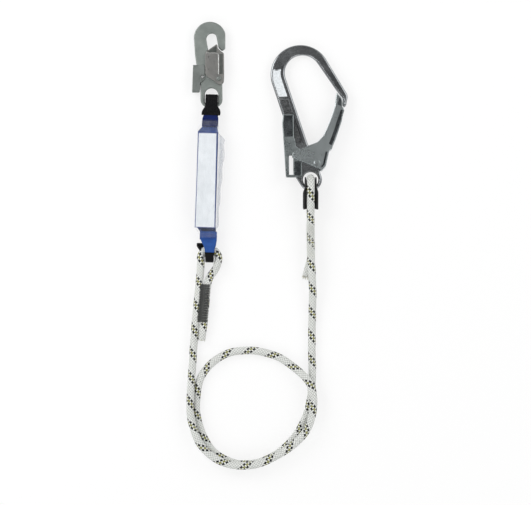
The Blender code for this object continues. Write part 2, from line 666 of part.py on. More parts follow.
def build_scaffold_hook(body, gate, lever, looks):
    outline, nose = scaffold_outline()
    holes = [(circle((0.0, 0.0), RING_HOLE_R, 24), HOOK_EDGE)]
    for pivot in (GATE_PIVOT, LEVER_PIVOT):
        holes.append((circle(pivot, HOOK_RIVET_R + GAP, 16), BORE_EDGE))
    plate = plate_mesh("scaffold_hook_body", outline, holes, HOOK_PLATE, HOOK_EDGE)
    add("scaffold_hook_body", plate, looks["chrome"], body)

    tip_in, tip_out = nose + Vector((-1.7, -1.5)), nose + Vector((7.0, -11.5))
    under = nose + Vector((7.2, -23.6))
    web = [tuple(tip_out), tuple(under), tuple(under + Vector((2.6, -2.4)))]
    web += [(46.6, 87.0), (41.6, 72.0), (37.4, 60.0), (33.6, 51.0), (31.8, 45.4), (28.0, 43.0), (22.8, 20.1)]
    web += [(16.8, 13.2)]
    outline = [tuple(tip_in), (37.2, 112.5), (32.0, 96.0), (24.9, 78.0), (19.0, 65.4), (10.2, 55.8)]
    outline += [(-1.2, 51.3), (-14.9, 45.5)]
    outline += arc((-22.6, 36.4), 5.0, 115, 235, 5)
    outline += [(12.5, 15.6), *web[::-1]]
    bore = [circle((0.0, 0.0), HOOK_RIVET_R + GAP, 16)]
    channel(
        "scaffold_gate", shifted(outline, GATE_PIVOT), shifted(web, GATE_PIVOT), HOOK_SHEET,
        GATE_IN_HOOK, bore, -1, looks["chrome_dark"], gate,
    )
    stand = zip((84.0, 78.0, 64.0, 48.0), (84.0, 78.0, 64.0, 42.0), LEVER_STAND)
    web = [(spine_edge(height) - away, place) for height, place, away in stand] + [(-37.0, 4.0)]
    outline = [(web[0][0] + 1.2, 98.0), *web, (-13.0, 4.0), (-13.0, 44.0), (-22.5, 50.0), (-23.0, 60.0)]
    outline += [(-25.0, 62.0), (-25.4, 98.0)]
    left, right, low, high = LEVER_WINDOW
    window = shifted([(left, low), (right, low), (right, high), (left, high)], LEVER_PIVOT)
    channel(
        "scaffold_lock_lever", shifted(outline, LEVER_PIVOT), shifted(web, LEVER_PIVOT), HOOK_SHEET,
        HOOK_PLATE / 2 + RUN, [*bore, window], 1, looks["chrome_dark"], lever,
    )
    reach = GATE_IN_HOOK + HOOK_SHEET + GAP
    pin = rivet("scaffold_gate_rivet", HOOK_RIVET_R, reach, HOOK_HEAD_R, HOOK_HEAD, looks["rivet"], body)
    pin.location = (GATE_PIVOT[0] * MM, GATE_PIVOT[1] * MM, 0)
    reach = HOOK_PLATE / 2 + RUN + HOOK_SHEET
    pin = rivet("scaffold_lever_rivet", HOOK_RIVET_R, reach, 0, 0, looks["rivet"], body)
    pin.location = (LEVER_PIVOT[0] * MM, LEVER_PIVOT[1] * MM, 0)
    ring = HOOK_RIVET_R + GAP + TORSION_WIRE
    spring = torsion_spring(
        "scaffold_gate_spring", ring, HOOK_PLATE / 2 + 0.1, 22.0, -110, looks["spring"], body
    )
    spring.location = (GATE_PIVOT[0] * MM, GATE_PIVOT[1] * MM, 0)
    stop = Vector((spine_edge(HOOK_COIL_AT), HOOK_COIL_AT)) + GAP * unit(180 + SPINE_LEAN)
    seat = stop + HOOK_COIL_LENGTH * unit(180 + SPINE_LEAN)
    coil_spring("scaffold_lever_spring", seat, stop, HOOK_COIL_R, looks["spring"], body)


def build_thimble(looks):
    seat = [(EYE_CENTRE_Y - THIMBLE_LEG, -THIMBLE_R), (EYE_CENTRE_Y - THIMBLE_STRAIGHT, -THIMBLE_R)]
    seat += arc((EYE_CENTRE_Y, 0.0), THIMBLE_R, -90, 90, 12)
    seat += [(EYE_CENTRE_Y - THIMBLE_STRAIGHT, THIMBLE_R)]
    seat += [(EYE_CENTRE_Y - THIMBLE_LEG, THIMBLE_R - THIMBLE_PINCH)]
    inside = ROPE_R + GAP
    outside = inside + THIMBLE_FLANGE
    root = THIMBLE_RIM / 2
    sections = []
    for y, _ in seat:
        lip = THIMBLE_FLARE if y < EYE_CENTRE_Y - THIMBLE_STRAIGHT / 2 else THIMBLE_FLARE_BEND
        right = [(outside, 0.0), (outside, root), (outside + lip, THIMBLE_RIM), (inside + lip, THIMBLE_RIM)]
        right += [(inside, root), (inside, THIMBLE_WALL)]
        sections.append([right + [(-x, n) for x, n in right[::-1]]])
    mesh = swept_mesh("rope_thimble", seat, sections)
    add("rope_thimble", mesh, looks["thimble"], None, (RING_X, RING_Y, RING_Z))


def rope_route():
    """Middles of the rope from end to end, with the eyes as arcs."""
    heel = ROPE_R + THIMBLE_WALL + GAP
    slope = math.atan(THIMBLE_PINCH / (THIMBLE_LEG - THIMBLE_STRAIGHT))
    leg = [(EYE_CENTRE_Y - THIMBLE_LEG, RING_Z + THIMBLE_R - THIMBLE_PINCH + heel / math.cos(slope))]
    leg += [(EYE_CENTRE_Y - THIMBLE_STRAIGHT - heel * math.tan(slope / 2), RING_Z + EYE_R)]
    leg += arc((EYE_CENTRE_Y, RING_Z), EYE_R, 90, -90, 8)
    left_eye = arc((LEFT_EYE_X, LEFT_EYE_Y), LEFT_EYE_R, -15, 195, 9)
    route = [(x, y, ROPE_R + lift) for x, y, lift in TAIL_ROUTE]
    route += [(x, y, HINGE_Z) for x, y in left_eye]
    route += [(x, y, ROPE_R + lift) for x, y, lift in RUN_ROUTE]
    route += [(RING_X, y, z) for y, z in leg]
    route += [(x, y, ROPE_R + lift) for x, y, lift in END_ROUTE]
    return route


def strand_at(points, y):
    """Where a straight run of two route points is at y."""
    first, second = points
    share = (y - first[1]) / (second[1] - first[1])
    x, _, lift = between(first, second, share)
    return (x, y, ROPE_R + lift)


def build_rope(looks):
    rope = wire_curve("rope", smooth_route(rope_route()), ROPE_R, ROPE_SIDES_RESOLUTION)
    add("rope", rope, looks["rope"], None)
    standing, tail = (RUN_ROUTE[2], RUN_ROUTE[4]), (TAIL_ROUTE[4], TAIL_ROUTE[2])
    head, foot = [(strand_at(standing, y), strand_at(tail, y)) for y in LEFT_SPLICE]
    splice_stitching("left_splice_stitching", head, foot, looks["thread"])
    standing, tail = (RUN_ROUTE[-1], RUN_ROUTE[-3]), (END_ROUTE[1], END_ROUTE[3])
    head, foot = [(strand_at(standing, y), strand_at(tail, y)) for y in RIGHT_SPLICE]
    splice_stitching("right_splice_stitching", head, foot, looks["thread"])


def main():
    for item in list(bpy.data.objects):
        bpy.data.objects.remove(item)
    looks = {
        "zinc": look("zinc plated steel", (0.22, 0.24, 0.23), 0.45, 1.0),
        "zinc_dark": look("zinc plated steel, darker", (0.17, 0.18, 0.17), 0.5, 1.0),
        "chrome": look("dark chrome", (0.16, 0.17, 0.18), 0.25, 1.0),
        "chrome_dark": look("dark chrome sheet", (0.12, 0.13, 0.14), 0.35, 1.0),
        "rivet": look("rivet steel", (0.3, 0.3, 0.3), 0.4, 1.0),
        "spring": look("spring steel", (0.2, 0.2, 0.2), 0.4, 1.0),
        "webbing": look("blue webbing", (0.02, 0.09, 0.38), 0.8),
        "pack": look("folded tear webbing", (0.02, 0.07, 0.3), 0.85),
        "sleeve": look("black wear sleeve", (0.008, 0.008, 0.008), 0.8),
        "film": look("clear film", (0.85, 0.9, 0.88), 0.2),
        "label": look("label", (0.85, 0.87, 0.93), 0.6),
        "thread": look("sewing thread", (0.06, 0.062, 0.055), 0.9),
        "rope": look("white rope", (0.72, 0.72, 0.69), 0.8),
        "thimble": look("black plastic", (0.01, 0.01, 0.01), 0.4),
    }
    build_rope(looks)
    build_thimble(looks)
    absorber = frame("absorber_axis", (HINGE_X, HINGE_Y, 0.0), None, (0.0, 0.0, TILT))
    build_absorber(absorber, looks)
    snap = frame("snap_hook_axis", (SNAP_X, SNAP_Y, SNAP_Z), absorber, (0.0, 0.0, -TILT))
    snap_gate = frame("snap_gate_axis", (*SNAP_GATE_PIVOT, 0.0), snap)
    snap_lever = frame("snap_lever_axis", (*SNAP_LEVER_PIVOT, 0.0), snap)
    build_snap_hook(snap, snap_gate, snap_lever, looks)
    hook = frame("scaffold_hook_axis", (RING_X, RING_Y, HOOK_Z), None, (-HOOK_TILT, 0.0, 0.0))
    hook_gate = frame("scaffold_gate_axis", (*GATE_PIVOT, 0.0), hook)
    hook_lever = frame("scaffold_lever_axis", (*LEVER_PIVOT, 0.0), hook)
    build_scaffold_hook(hook, hook_gate, hook_lever, looks)


main()
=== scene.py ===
import json
import math

import bmesh
import bpy
import numpy as np
from mathutils import Vector
from mathutils.geometry import tessellate_polygon
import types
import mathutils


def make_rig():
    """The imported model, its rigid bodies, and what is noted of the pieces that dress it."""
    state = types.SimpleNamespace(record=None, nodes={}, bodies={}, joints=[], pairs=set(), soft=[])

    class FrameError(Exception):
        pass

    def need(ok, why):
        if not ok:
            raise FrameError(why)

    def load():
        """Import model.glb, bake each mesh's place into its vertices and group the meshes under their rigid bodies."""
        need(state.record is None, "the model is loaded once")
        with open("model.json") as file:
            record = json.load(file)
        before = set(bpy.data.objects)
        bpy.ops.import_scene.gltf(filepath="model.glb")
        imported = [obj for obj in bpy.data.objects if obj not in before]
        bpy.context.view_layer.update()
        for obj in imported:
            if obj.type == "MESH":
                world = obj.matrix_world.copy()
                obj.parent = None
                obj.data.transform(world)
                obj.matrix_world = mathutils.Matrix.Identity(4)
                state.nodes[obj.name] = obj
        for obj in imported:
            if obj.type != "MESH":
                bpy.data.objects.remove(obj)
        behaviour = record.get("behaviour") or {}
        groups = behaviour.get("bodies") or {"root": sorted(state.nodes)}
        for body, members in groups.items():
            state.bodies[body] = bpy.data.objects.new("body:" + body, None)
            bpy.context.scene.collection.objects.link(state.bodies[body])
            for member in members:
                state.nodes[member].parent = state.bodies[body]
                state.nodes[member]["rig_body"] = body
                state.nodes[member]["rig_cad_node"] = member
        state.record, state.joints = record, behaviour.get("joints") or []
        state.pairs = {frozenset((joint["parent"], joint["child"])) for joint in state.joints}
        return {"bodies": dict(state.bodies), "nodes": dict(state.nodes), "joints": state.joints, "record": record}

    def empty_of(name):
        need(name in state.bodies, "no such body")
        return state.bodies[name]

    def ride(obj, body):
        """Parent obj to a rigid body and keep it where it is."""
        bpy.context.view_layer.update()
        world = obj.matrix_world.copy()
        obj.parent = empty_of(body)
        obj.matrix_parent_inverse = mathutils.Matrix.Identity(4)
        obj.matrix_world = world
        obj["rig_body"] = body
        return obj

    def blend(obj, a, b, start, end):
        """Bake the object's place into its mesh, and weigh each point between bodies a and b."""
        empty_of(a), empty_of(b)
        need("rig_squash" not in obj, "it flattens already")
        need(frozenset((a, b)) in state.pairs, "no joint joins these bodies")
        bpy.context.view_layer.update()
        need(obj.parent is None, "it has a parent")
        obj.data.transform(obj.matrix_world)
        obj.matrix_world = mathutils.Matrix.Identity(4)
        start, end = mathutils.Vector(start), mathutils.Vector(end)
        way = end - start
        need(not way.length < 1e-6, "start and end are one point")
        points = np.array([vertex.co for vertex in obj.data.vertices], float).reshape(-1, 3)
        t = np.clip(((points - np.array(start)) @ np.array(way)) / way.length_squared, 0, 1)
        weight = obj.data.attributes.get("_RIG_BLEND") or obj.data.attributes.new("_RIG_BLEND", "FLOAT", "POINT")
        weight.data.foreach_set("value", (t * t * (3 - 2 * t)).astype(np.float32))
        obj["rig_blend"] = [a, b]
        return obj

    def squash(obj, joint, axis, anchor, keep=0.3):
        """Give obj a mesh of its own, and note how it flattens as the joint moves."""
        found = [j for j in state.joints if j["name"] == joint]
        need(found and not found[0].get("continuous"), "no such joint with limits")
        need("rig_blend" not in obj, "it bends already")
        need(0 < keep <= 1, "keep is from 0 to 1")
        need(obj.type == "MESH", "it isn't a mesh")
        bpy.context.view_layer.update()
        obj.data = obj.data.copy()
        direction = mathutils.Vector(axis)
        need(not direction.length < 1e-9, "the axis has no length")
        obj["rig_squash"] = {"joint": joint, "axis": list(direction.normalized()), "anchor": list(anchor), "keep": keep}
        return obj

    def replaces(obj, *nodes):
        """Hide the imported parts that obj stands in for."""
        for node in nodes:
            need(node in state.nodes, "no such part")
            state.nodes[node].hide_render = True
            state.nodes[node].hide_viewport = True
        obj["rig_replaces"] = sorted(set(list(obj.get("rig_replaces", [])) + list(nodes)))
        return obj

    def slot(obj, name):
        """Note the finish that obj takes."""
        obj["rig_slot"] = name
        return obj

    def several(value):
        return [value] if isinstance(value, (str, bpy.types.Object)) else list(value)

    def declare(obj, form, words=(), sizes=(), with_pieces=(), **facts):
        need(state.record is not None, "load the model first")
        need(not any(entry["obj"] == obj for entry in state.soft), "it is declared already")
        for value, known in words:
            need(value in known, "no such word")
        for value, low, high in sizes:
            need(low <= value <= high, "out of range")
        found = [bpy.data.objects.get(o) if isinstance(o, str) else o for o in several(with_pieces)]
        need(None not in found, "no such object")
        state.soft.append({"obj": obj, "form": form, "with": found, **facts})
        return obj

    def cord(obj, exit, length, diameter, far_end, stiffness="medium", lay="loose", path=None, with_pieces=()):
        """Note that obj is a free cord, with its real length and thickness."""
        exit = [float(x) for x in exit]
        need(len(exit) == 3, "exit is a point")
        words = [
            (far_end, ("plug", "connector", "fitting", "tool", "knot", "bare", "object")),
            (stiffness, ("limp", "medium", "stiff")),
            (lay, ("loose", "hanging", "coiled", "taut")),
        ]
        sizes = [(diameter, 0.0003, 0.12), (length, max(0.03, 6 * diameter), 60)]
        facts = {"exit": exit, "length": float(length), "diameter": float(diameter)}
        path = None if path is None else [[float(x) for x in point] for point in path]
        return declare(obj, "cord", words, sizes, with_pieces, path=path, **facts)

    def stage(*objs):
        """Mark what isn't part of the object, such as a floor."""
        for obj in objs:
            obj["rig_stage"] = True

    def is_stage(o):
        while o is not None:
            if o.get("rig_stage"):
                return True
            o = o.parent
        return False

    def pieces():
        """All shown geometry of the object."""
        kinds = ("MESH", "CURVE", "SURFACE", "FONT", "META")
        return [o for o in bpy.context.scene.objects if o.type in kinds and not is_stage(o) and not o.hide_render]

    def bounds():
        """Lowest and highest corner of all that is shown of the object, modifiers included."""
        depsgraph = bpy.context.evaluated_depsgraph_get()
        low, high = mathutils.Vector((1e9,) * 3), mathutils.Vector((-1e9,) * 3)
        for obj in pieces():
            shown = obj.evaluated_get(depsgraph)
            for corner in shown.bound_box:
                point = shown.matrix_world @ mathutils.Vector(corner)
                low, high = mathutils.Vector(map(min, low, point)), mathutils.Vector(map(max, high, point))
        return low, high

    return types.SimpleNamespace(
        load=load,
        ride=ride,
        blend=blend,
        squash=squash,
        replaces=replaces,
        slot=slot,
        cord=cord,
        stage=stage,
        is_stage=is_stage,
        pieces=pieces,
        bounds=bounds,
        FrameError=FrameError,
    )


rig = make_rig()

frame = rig.load()
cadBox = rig.bounds()
mm = 0.001
joints = {joint["name"]: joint for joint in frame["joints"]}
print("frame loaded:", len(frame["nodes"]), "nodes")


# lines and loops, in millimetres and degrees

def arcPoints(centre, radius, start, end, step=4.0):
    count = max(2, math.ceil(abs(end - start) / step))
    angles = np.radians(np.linspace(start, end, count + 1))
    return [(centre[0] + radius * math.cos(a), centre[1] + radius * math.sin(a)) for a in angles]


def circlePoints(centre, radius, count):
    return arcPoints(centre, radius, 0, 360, 360 / count)[:-1]


def unitAt(angle):
    return np.array((math.cos(math.radians(angle)), math.sin(math.radians(angle))))


def quarterTurn(steps):
    return [math.radians(90 * k / steps) for k in range(steps + 1)]


def easeStep(share):
    # 0 to 1 with a soft start and stop
    return share * share * (3 - 2 * share)


def between(first, second, share):
    return tuple(a + (b - a) * share for a, b in zip(first, second))


def runsOf(line):
    # how far along the line each of its points is
    return np.concatenate(([0.0], np.cumsum(np.linalg.norm(np.diff(line, axis=0), axis=1))))


def headings(line):
    along = np.gradient(line, axis=0)
    return along / np.linalg.norm(along, axis=1, keepdims=True)


def leftOf(along):
    return np.column_stack((-along[:, 1], along[:, 0]))


def atHeight(loop, z):
    return np.column_stack((loop, np.full(len(loop), z)))


def atMarks(table, runs, marks):
    return np.stack([np.interp(marks, runs, column) for column in table.T], axis=1)


def spread(points, spacing, closed=False):
    # the same line with evenly spaced points
    line = np.array(points, float)
    if closed:
        line = np.vstack((line, line[:1]))
    runs = runsOf(line)
    count = max(3, round(runs[-1] / spacing))
    marks = np.linspace(0, runs[-1], count + 1)
    return atMarks(line, runs, marks[:-1] if closed else marks)


def eased(points, passes, closed=False):
    # rounds the corners of an evenly spaced line, and leaves open ends where they are
    line = np.array(points, float)
    for _ in range(passes):
        before, after = np.roll(line, 1, axis=0), np.roll(line, -1, axis=0)
        moved = 0.5 * line + 0.25 * (before + after)
        if not closed:
            moved[0], moved[-1] = line[0], line[-1]
        line = moved
    return line


def softLoop(points, spacing, passes):
    return eased(spread(points, spacing, True), passes, True)


def insetLoop(loop, by):
    # an anticlockwise loop moved inwards
    along = np.roll(loop, -1, axis=0) - np.roll(loop, 1, axis=0)
    along /= np.linalg.norm(along, axis=1, keepdims=True) + 1e-12
    return loop + by * leftOf(along)


def ripple(a, b, seed, scale):
    # seven uneven waves over two coordinates, together about -1 to 1
    draw = np.random.default_rng(seed)
    total = np.zeros(np.broadcast(a, b).shape)
    for _ in range(7):
        turn, shift = draw.uniform(0, 2 * math.pi, 2)
        rate = draw.uniform(0.6, 1.9) * 2 * math.pi / scale
        total = total + np.sin(rate * (a * math.cos(turn) + b * math.sin(turn)) + shift)
    return total / 3.2


# shells: points and faces of a piece before it becomes a mesh

def emptyShell():
    return {"verts": [], "faces": [], "uvs": [], "marks": []}


def addVerts(shell, points):
    start = len(shell["verts"])
    shell["verts"].extend(np.asarray(points, float).tolist())
    return start


def addFace(shell, corners, uvs=None, mark=0):
    shell["faces"].append(corners)
    shell["uvs"].append(uvs or [(0.0, 0.0)] * len(corners))
    shell["marks"].append(mark)


def addGrid(shell, rings, runU=None, runV=None, mark=0, looped=False):
    # quads between rings of points, with (along, around) as their texture place;
    # a looped row of rings closes on itself, any other gets a cap at each end
    rings = np.asarray(rings, float)
    rows, columns = rings.shape[:2]
    start = addVerts(shell, rings.reshape(-1, 3))
    runU = np.arange(rows) if runU is None else runU
    runV = np.arange(columns + 1) if runV is None else runV
    for i in range(rows if looped else rows - 1):
        n = (i + 1) % rows
        low, high = start + i * columns, start + n * columns
        for j in range(columns):
            k = (j + 1) % columns
            place = [(runU[u], runV[v]) for u, v in ((i, j), (i, j + 1), (n, j + 1), (n, j))]
            addFace(shell, (low + j, low + k, high + k, high + j), place, mark)
    if not looped:
        last = start + (rows - 1) * columns
        addFace(shell, tuple(range(start + columns - 1, start - 1, -1)), None, mark)
        addFace(shell, tuple(range(last, last + columns)), None, mark)


def addFill(shell, loops, side, mark=0):
    # triangles over the first loop, less the others; they face up or down by side
    order = [index for loop in loops for index in loop]
    flat = [[Vector((*shell["verts"][i][:2], 0)) for i in loop] for loop in loops]
    for triple in tessellate_polygon(flat):
        triple = tuple(order[t] for t in triple)
        a, b, c = (np.array(shell["verts"][i][:2]) for i in triple)
        turn = (b[0] - a[0]) * (c[1] - a[1]) - (b[1] - a[1]) * (c[0] - a[0])
        addFace(shell, triple if turn * side > 0 else triple[::-1], None, mark)


def addWall(shell, first, second, count, outward):
    for i in range(count):
        k = (i + 1) % count
        ring = (first + i, second + i, second + k, first + k)
        addFace(shell, ring if outward else ring[::-1])


def addPocket(shell, z, side, loop, depth, slope, tilt, mark):
    # a sunk bed in a plate's face; its rim comes back as the hole to leave there
    loop = np.asarray(loop, float)
    count = len(loop)
    rim = addVerts(shell, atHeight(loop, z))
    floor = insetLoop(loop, slope)
    sink = depth - (floor - floor.mean(axis=0)) @ np.asarray(tilt)
    bed = addVerts(shell, np.column_stack((floor, z - side * sink)))
    for i in range(count):
        k = (i + 1) % count
        ring = (rim + i, rim + k, bed + k, bed + i)
        addFace(shell, ring if side > 0 else ring[::-1])
    addFill(shell, [range(bed, bed + count)], side, mark)
    return range(rim, rim + count)


def addPlate(shell, outline, holes, thick, edge, pockets, lift, steps):
    # a plate with rolled edges; holes are (loop, edge), pockets (loop, depth, slope, tilt, mark)
    half = thick / 2
    rims = [(np.asarray(outline, float), edge, 1)]
    rims += [(np.asarray(loop, float), roll, -1) for loop, roll in holes]
    profile = [(1.08, 1.0)]  # the flat starts a little inside the roll
    profile += [(1 - math.sin(angle), math.cos(angle)) for angle in quarterTurn(steps)]
    faces = []
    for side in (1, -1):
        rows = []
        for by, drop in profile:
            row = []
            for loop, roll, way in rims:
                z = side * (half - roll * (1 - drop)) + lift
                row.append(addVerts(shell, atHeight(insetLoop(loop, way * by * roll), z)))
            rows.append(row)
        faces.append((side, rows))
    sizes = [len(loop) for loop, _, _ in rims]
    for side, rows in faces:
        for upper, lower in zip(rows, rows[1:]):
            for n, count in enumerate(sizes):
                addWall(shell, upper[n], lower[n], count, (side > 0) == (n == 0))
    for n, count in enumerate(sizes):
        addWall(shell, faces[0][1][-1][n], faces[1][1][-1][n], count, n == 0)
    for side, rows in faces:
        loops = [range(first, first + count) for first, count in zip(rows[0], sizes)]
        loops += [addPocket(shell, side * half + lift, side, *pocket) for pocket in pockets]
        addFill(shell, loops, side)


def carryFrames(path):
    # a pair of side vectors at each point that turn no more than the path does
    along = headings(path)
    side = np.cross(along[0], (0.0, 0.0, 1.0))
    if np.linalg.norm(side) < 0.1:
        side = np.cross(along[0], (1.0, 0.0, 0.0))
    side /= np.linalg.norm(side)
    sides = []
    for step in along:
        side = side - step * side.dot(step)
        side = side / np.linalg.norm(side)
        sides.append(side)
    sides = np.array(sides)
    return along, sides, np.cross(along, sides)


def roundRings(right, up, sides):
    angles = np.linspace(0, 2 * math.pi, sides, endpoint=False)
    across, over = np.cos(angles)[None, :, None], np.sin(angles)[None, :, None]
    return across * right[:, None, :] + over * up[:, None, :]


def withDomes(rings, path, along, ring, radius, turns, flat=1.0):
    # the rings of a tube, with more at both ends that close it in a dome
    caps = []
    for k, way in ((0, -1), (-1, 1)):
        cap = []
        for lean in np.radians(turns):
            middle = path[k] + way * along[k] * radius * flat * math.sin(lean)
            cap.append(middle + radius * math.cos(lean) * ring[k])
        caps.append(cap)
    return np.concatenate((caps[0][::-1], rings, caps[1]))


def addTube(shell, path, radius, sides, mark=0, domeTurns=(35, 65)):
    path = np.asarray(path, float)
    along, right, up = carryFrames(path)
    ring = roundRings(right, up, sides)
    rings = withDomes(path[:, None, :] + radius * ring, path, along, ring, radius, domeTurns)
    addGrid(shell, rings, runsOf(rings[:, 0]), np.linspace(0, 2 * math.pi * radius, sides + 1), mark)


def addTurned(shell, profile, centre, sides=40):
    # (radius, height) turned about an upright axis
    angles = np.linspace(0, 2 * math.pi, sides, endpoint=False)
    round2d = np.column_stack((np.cos(angles), np.sin(angles)))
    addGrid(shell, [atHeight(np.array(centre) + r * round2d, z) for r, z in profile])


def makePiece(name, shell, looks, body, slotName, place=None, standsFor=None, smooth=40, bend=None):
    points = np.array(shell["verts"]) * mm
    if place is not None:
        turn, origin = place
        points = points @ turn.T + origin
    mesh = bpy.data.meshes.new(name)
    mesh.from_pydata(points.tolist(), [], shell["faces"])
    places = mesh.uv_layers.new(name="run")
    places.data.foreach_set("uv", [value for face in shell["uvs"] for pair in face for value in pair])
    for material in looks if isinstance(looks, list) else [looks]:
        mesh.materials.append(material)
    mesh.polygons.foreach_set("material_index", shell["marks"])
    mesh.validate()
    turned = bmesh.new()
    turned.from_mesh(mesh)
    bmesh.ops.recalc_face_normals(turned, faces=turned.faces)
    turned.to_mesh(mesh)
    turned.free()
    mesh.shade_smooth()
    mesh.set_sharp_from_angle(angle=math.radians(smooth))
    piece = bpy.data.objects.new(name, mesh)
    bpy.context.scene.collection.objects.link(piece)
    if bend is None:
        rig.ride(piece, body)
    else:
        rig.blend(piece, body, *bend)
    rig.slot(piece, slotName)
    if standsFor:
        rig.replaces(piece, standsFor)
    return piece


# where the hooks and the absorber sit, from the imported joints

def spotOf(name):
    return np.array(joints[name]["pos_m"]), np.array(joints[name]["axis"])


hingeSpot, hingeAxis = spotOf("absorber_swing")
barSpot, _ = spotOf("snap_hook_swing")
ringSpot, ringAxis = spotOf("scaffold_hook_swing")
lean = math.atan2(hingeAxis[1], hingeAxis[0])
absorberPlace = (
    np.array(((math.cos(lean), -math.sin(lean), 0), (math.sin(lean), math.cos(lean), 0), (0, 0, 1))),
    np.array((hingeSpot[0], hingeSpot[1], 0.0)),
)
snapPlace = (np.eye(3), barSpot)
dip = math.atan2(ringAxis[1], ringAxis[2])
hookPlace = (
    np.array(((1, 0, 0), (0, math.cos(dip), math.sin(dip)), (0, -math.sin(dip), math.cos(dip)))),
    ringSpot,
)


# small helpers for materials

def tone(red, green, blue):
    # a colour as it looks on screen, 0 to 255
    values = [v / 255 for v in (red, green, blue)]
    return tuple(v / 12.92 if v <= 0.04045 else ((v + 0.055) / 1.055) ** 2.4 for v in values) + (1.0,)


current = {}  # the material being made, and the tree that new nodes go into


def startMaterial(name):
    material = bpy.data.materials.new(name)
    material.use_nodes = True
    current.update(material=material, tree=material.node_tree)


def setInputs(made, inputs):
    for key, value in inputs.items():
        if isinstance(value, bpy.types.NodeSocket):
            current["tree"].links.new(value, made.inputs[key])
        else:
            made.inputs[key].default_value = value


def finishMaterial(inputs):
    setInputs(current["tree"].nodes["Principled BSDF"], inputs)
    return current["material"]


def node(kind, inputs=None, **settings):
    made = current["tree"].nodes.new("ShaderNode" + kind)
    for key, value in settings.items():
        setattr(made, key, value)
    setInputs(made, inputs or {})
    return made


def calc(operation, *values):
    return node("Math", dict(enumerate(values)), operation=operation).outputs[0]


def weighted(first, firstShare, second, secondShare):
    parts = [calc("MULTIPLY", *part) for part in ((first, firstShare), (second, secondShare))]
    return calc("ADD", *parts)


def pick(share, first, second):
    return node("Mix", {0: share, 2: first, 3: second}).outputs[0]


def pickColour(share, first, second):
    return node("Mix", {0: share, 6: first, 7: second}, data_type="RGBA").outputs[2]


def ramp(value, stops):
    made = node("ValToRGB", {"Fac": value})
    band = made.color_ramp.elements
    while len(band) < len(stops):
        band.new(0.5)
    for element, (where, colour) in zip(band, stops):
        element.position = where
        element.color = colour
    return made.outputs["Color"]


def fromTo(value, low, high, newLow, newHigh):
    inputs = {"Value": value, "From Min": low, "From Max": high, "To Min": newLow, "To Max": newHigh}
    return node("MapRange", inputs).outputs["Result"]


def speckle(scale, detail=3.0, roughness=0.5, stretch=None):
    where = node("TexCoord").outputs["Object"]
    if stretch:
        where = node("Mapping", {"Vector": where, "Scale": stretch}).outputs["Vector"]
    inputs = {"Vector": where, "Scale": scale, "Detail": detail, "Roughness": roughness}
    return node("TexNoise", inputs).outputs["Fac"]


def runPlace():
    # texture place of a swept piece: along and across it, in millimetres where the piece says no other
    parts = node("SeparateXYZ", {0: node("UVMap", uv_map="run").outputs[0]})
    return parts.outputs[0], parts.outputs[1]


def bumped(height, distance, strength):
    return node("Bump", {"Height": height, "Distance": distance * mm, "Strength": strength}).outputs[0]


def dome(value):
    # rounded profile of a yarn from its place across, 0 to 1
    off = calc("SUBTRACT", calc("FRACT", value), 0.5)
    return calc("SUBTRACT", 1.0, calc("MULTIPLY", calc("MULTIPLY", off, off), 4.0))


def oddEven(first, second):
    return calc("FLOORED_MODULO", calc("ADD", first, second), 2.0)


# camera, floor and light

viewSizes = {
    "middleX": 88.05, "middleY": -108.75, "height": 2400.0, "lift": 10.0, "across": 796.5, "sensor": 36.0,
}


def setCamera():
    data = bpy.data.cameras.new("camera")
    data.sensor_fit = "HORIZONTAL"
    data.sensor_width = viewSizes["sensor"]
    data.lens = viewSizes["sensor"] * viewSizes["height"] / viewSizes["across"]
    camera = bpy.data.objects.new("camera", data)
    height = viewSizes["height"] + viewSizes["lift"]
    camera.location = (viewSizes["middleX"] * mm, viewSizes["middleY"] * mm, height * mm)
    bpy.context.scene.collection.objects.link(camera)
    bpy.context.scene.camera = camera


studio = {
    "floorHalf": 4.0, "floorDrop": 0.0006, "floorWhite": 0.95, "floorGlow": 0.75,
    "zenith": 0.16, "horizon": 0.85,
    "lamps": [  # place, watts, width and aim of each square softbox, in metres
        ((-1.05, 0.75, 1.15), 14.0, 1.0, (0.07, -0.1, 0.0)),
        ((1.15, 0.65, 1.15), 8.0, 1.0, (0.07, -0.1, 0.0)),
        ((-0.95, -1.15, 1.15), 8.0, 1.0, (0.07, -0.1, 0.0)),
        ((1.1, -1.15, 1.15), 6.5, 1.0, (0.07, -0.1, 0.0)),
        ((-0.23, 0.41, 1.6), 1.4, 0.34, (0.107, 0.145, 0.0)),  # a glint on the scaffold hook's spine
    ],
}


def setLight():
    scene = bpy.context.scene
    scene.view_settings.view_transform = "Standard"
    world = bpy.data.worlds.new("studio")
    world.use_nodes = True
    scene.world = world
    current["tree"] = world.node_tree
    height = node("SeparateXYZ", {0: node("TexCoord").outputs["Generated"]}).outputs[2]
    sky = fromTo(calc("ABSOLUTE", height), 0.0, 1.0, studio["horizon"], studio["zenith"])
    setInputs(world.node_tree.nodes["Background"], {"Color": sky})
    for k, (place, watts, width, target) in enumerate(studio["lamps"]):
        data = bpy.data.lights.new(f"softbox{k}", "AREA")
        data.size = width
        data.energy = watts
        lamp = bpy.data.objects.new(f"softbox{k}", data)
        lamp.location = place
        lamp.rotation_euler = (Vector(target) - Vector(place)).to_track_quat("-Z", "Y").to_euler()
        lamp.visible_camera = False
        scene.collection.objects.link(lamp)


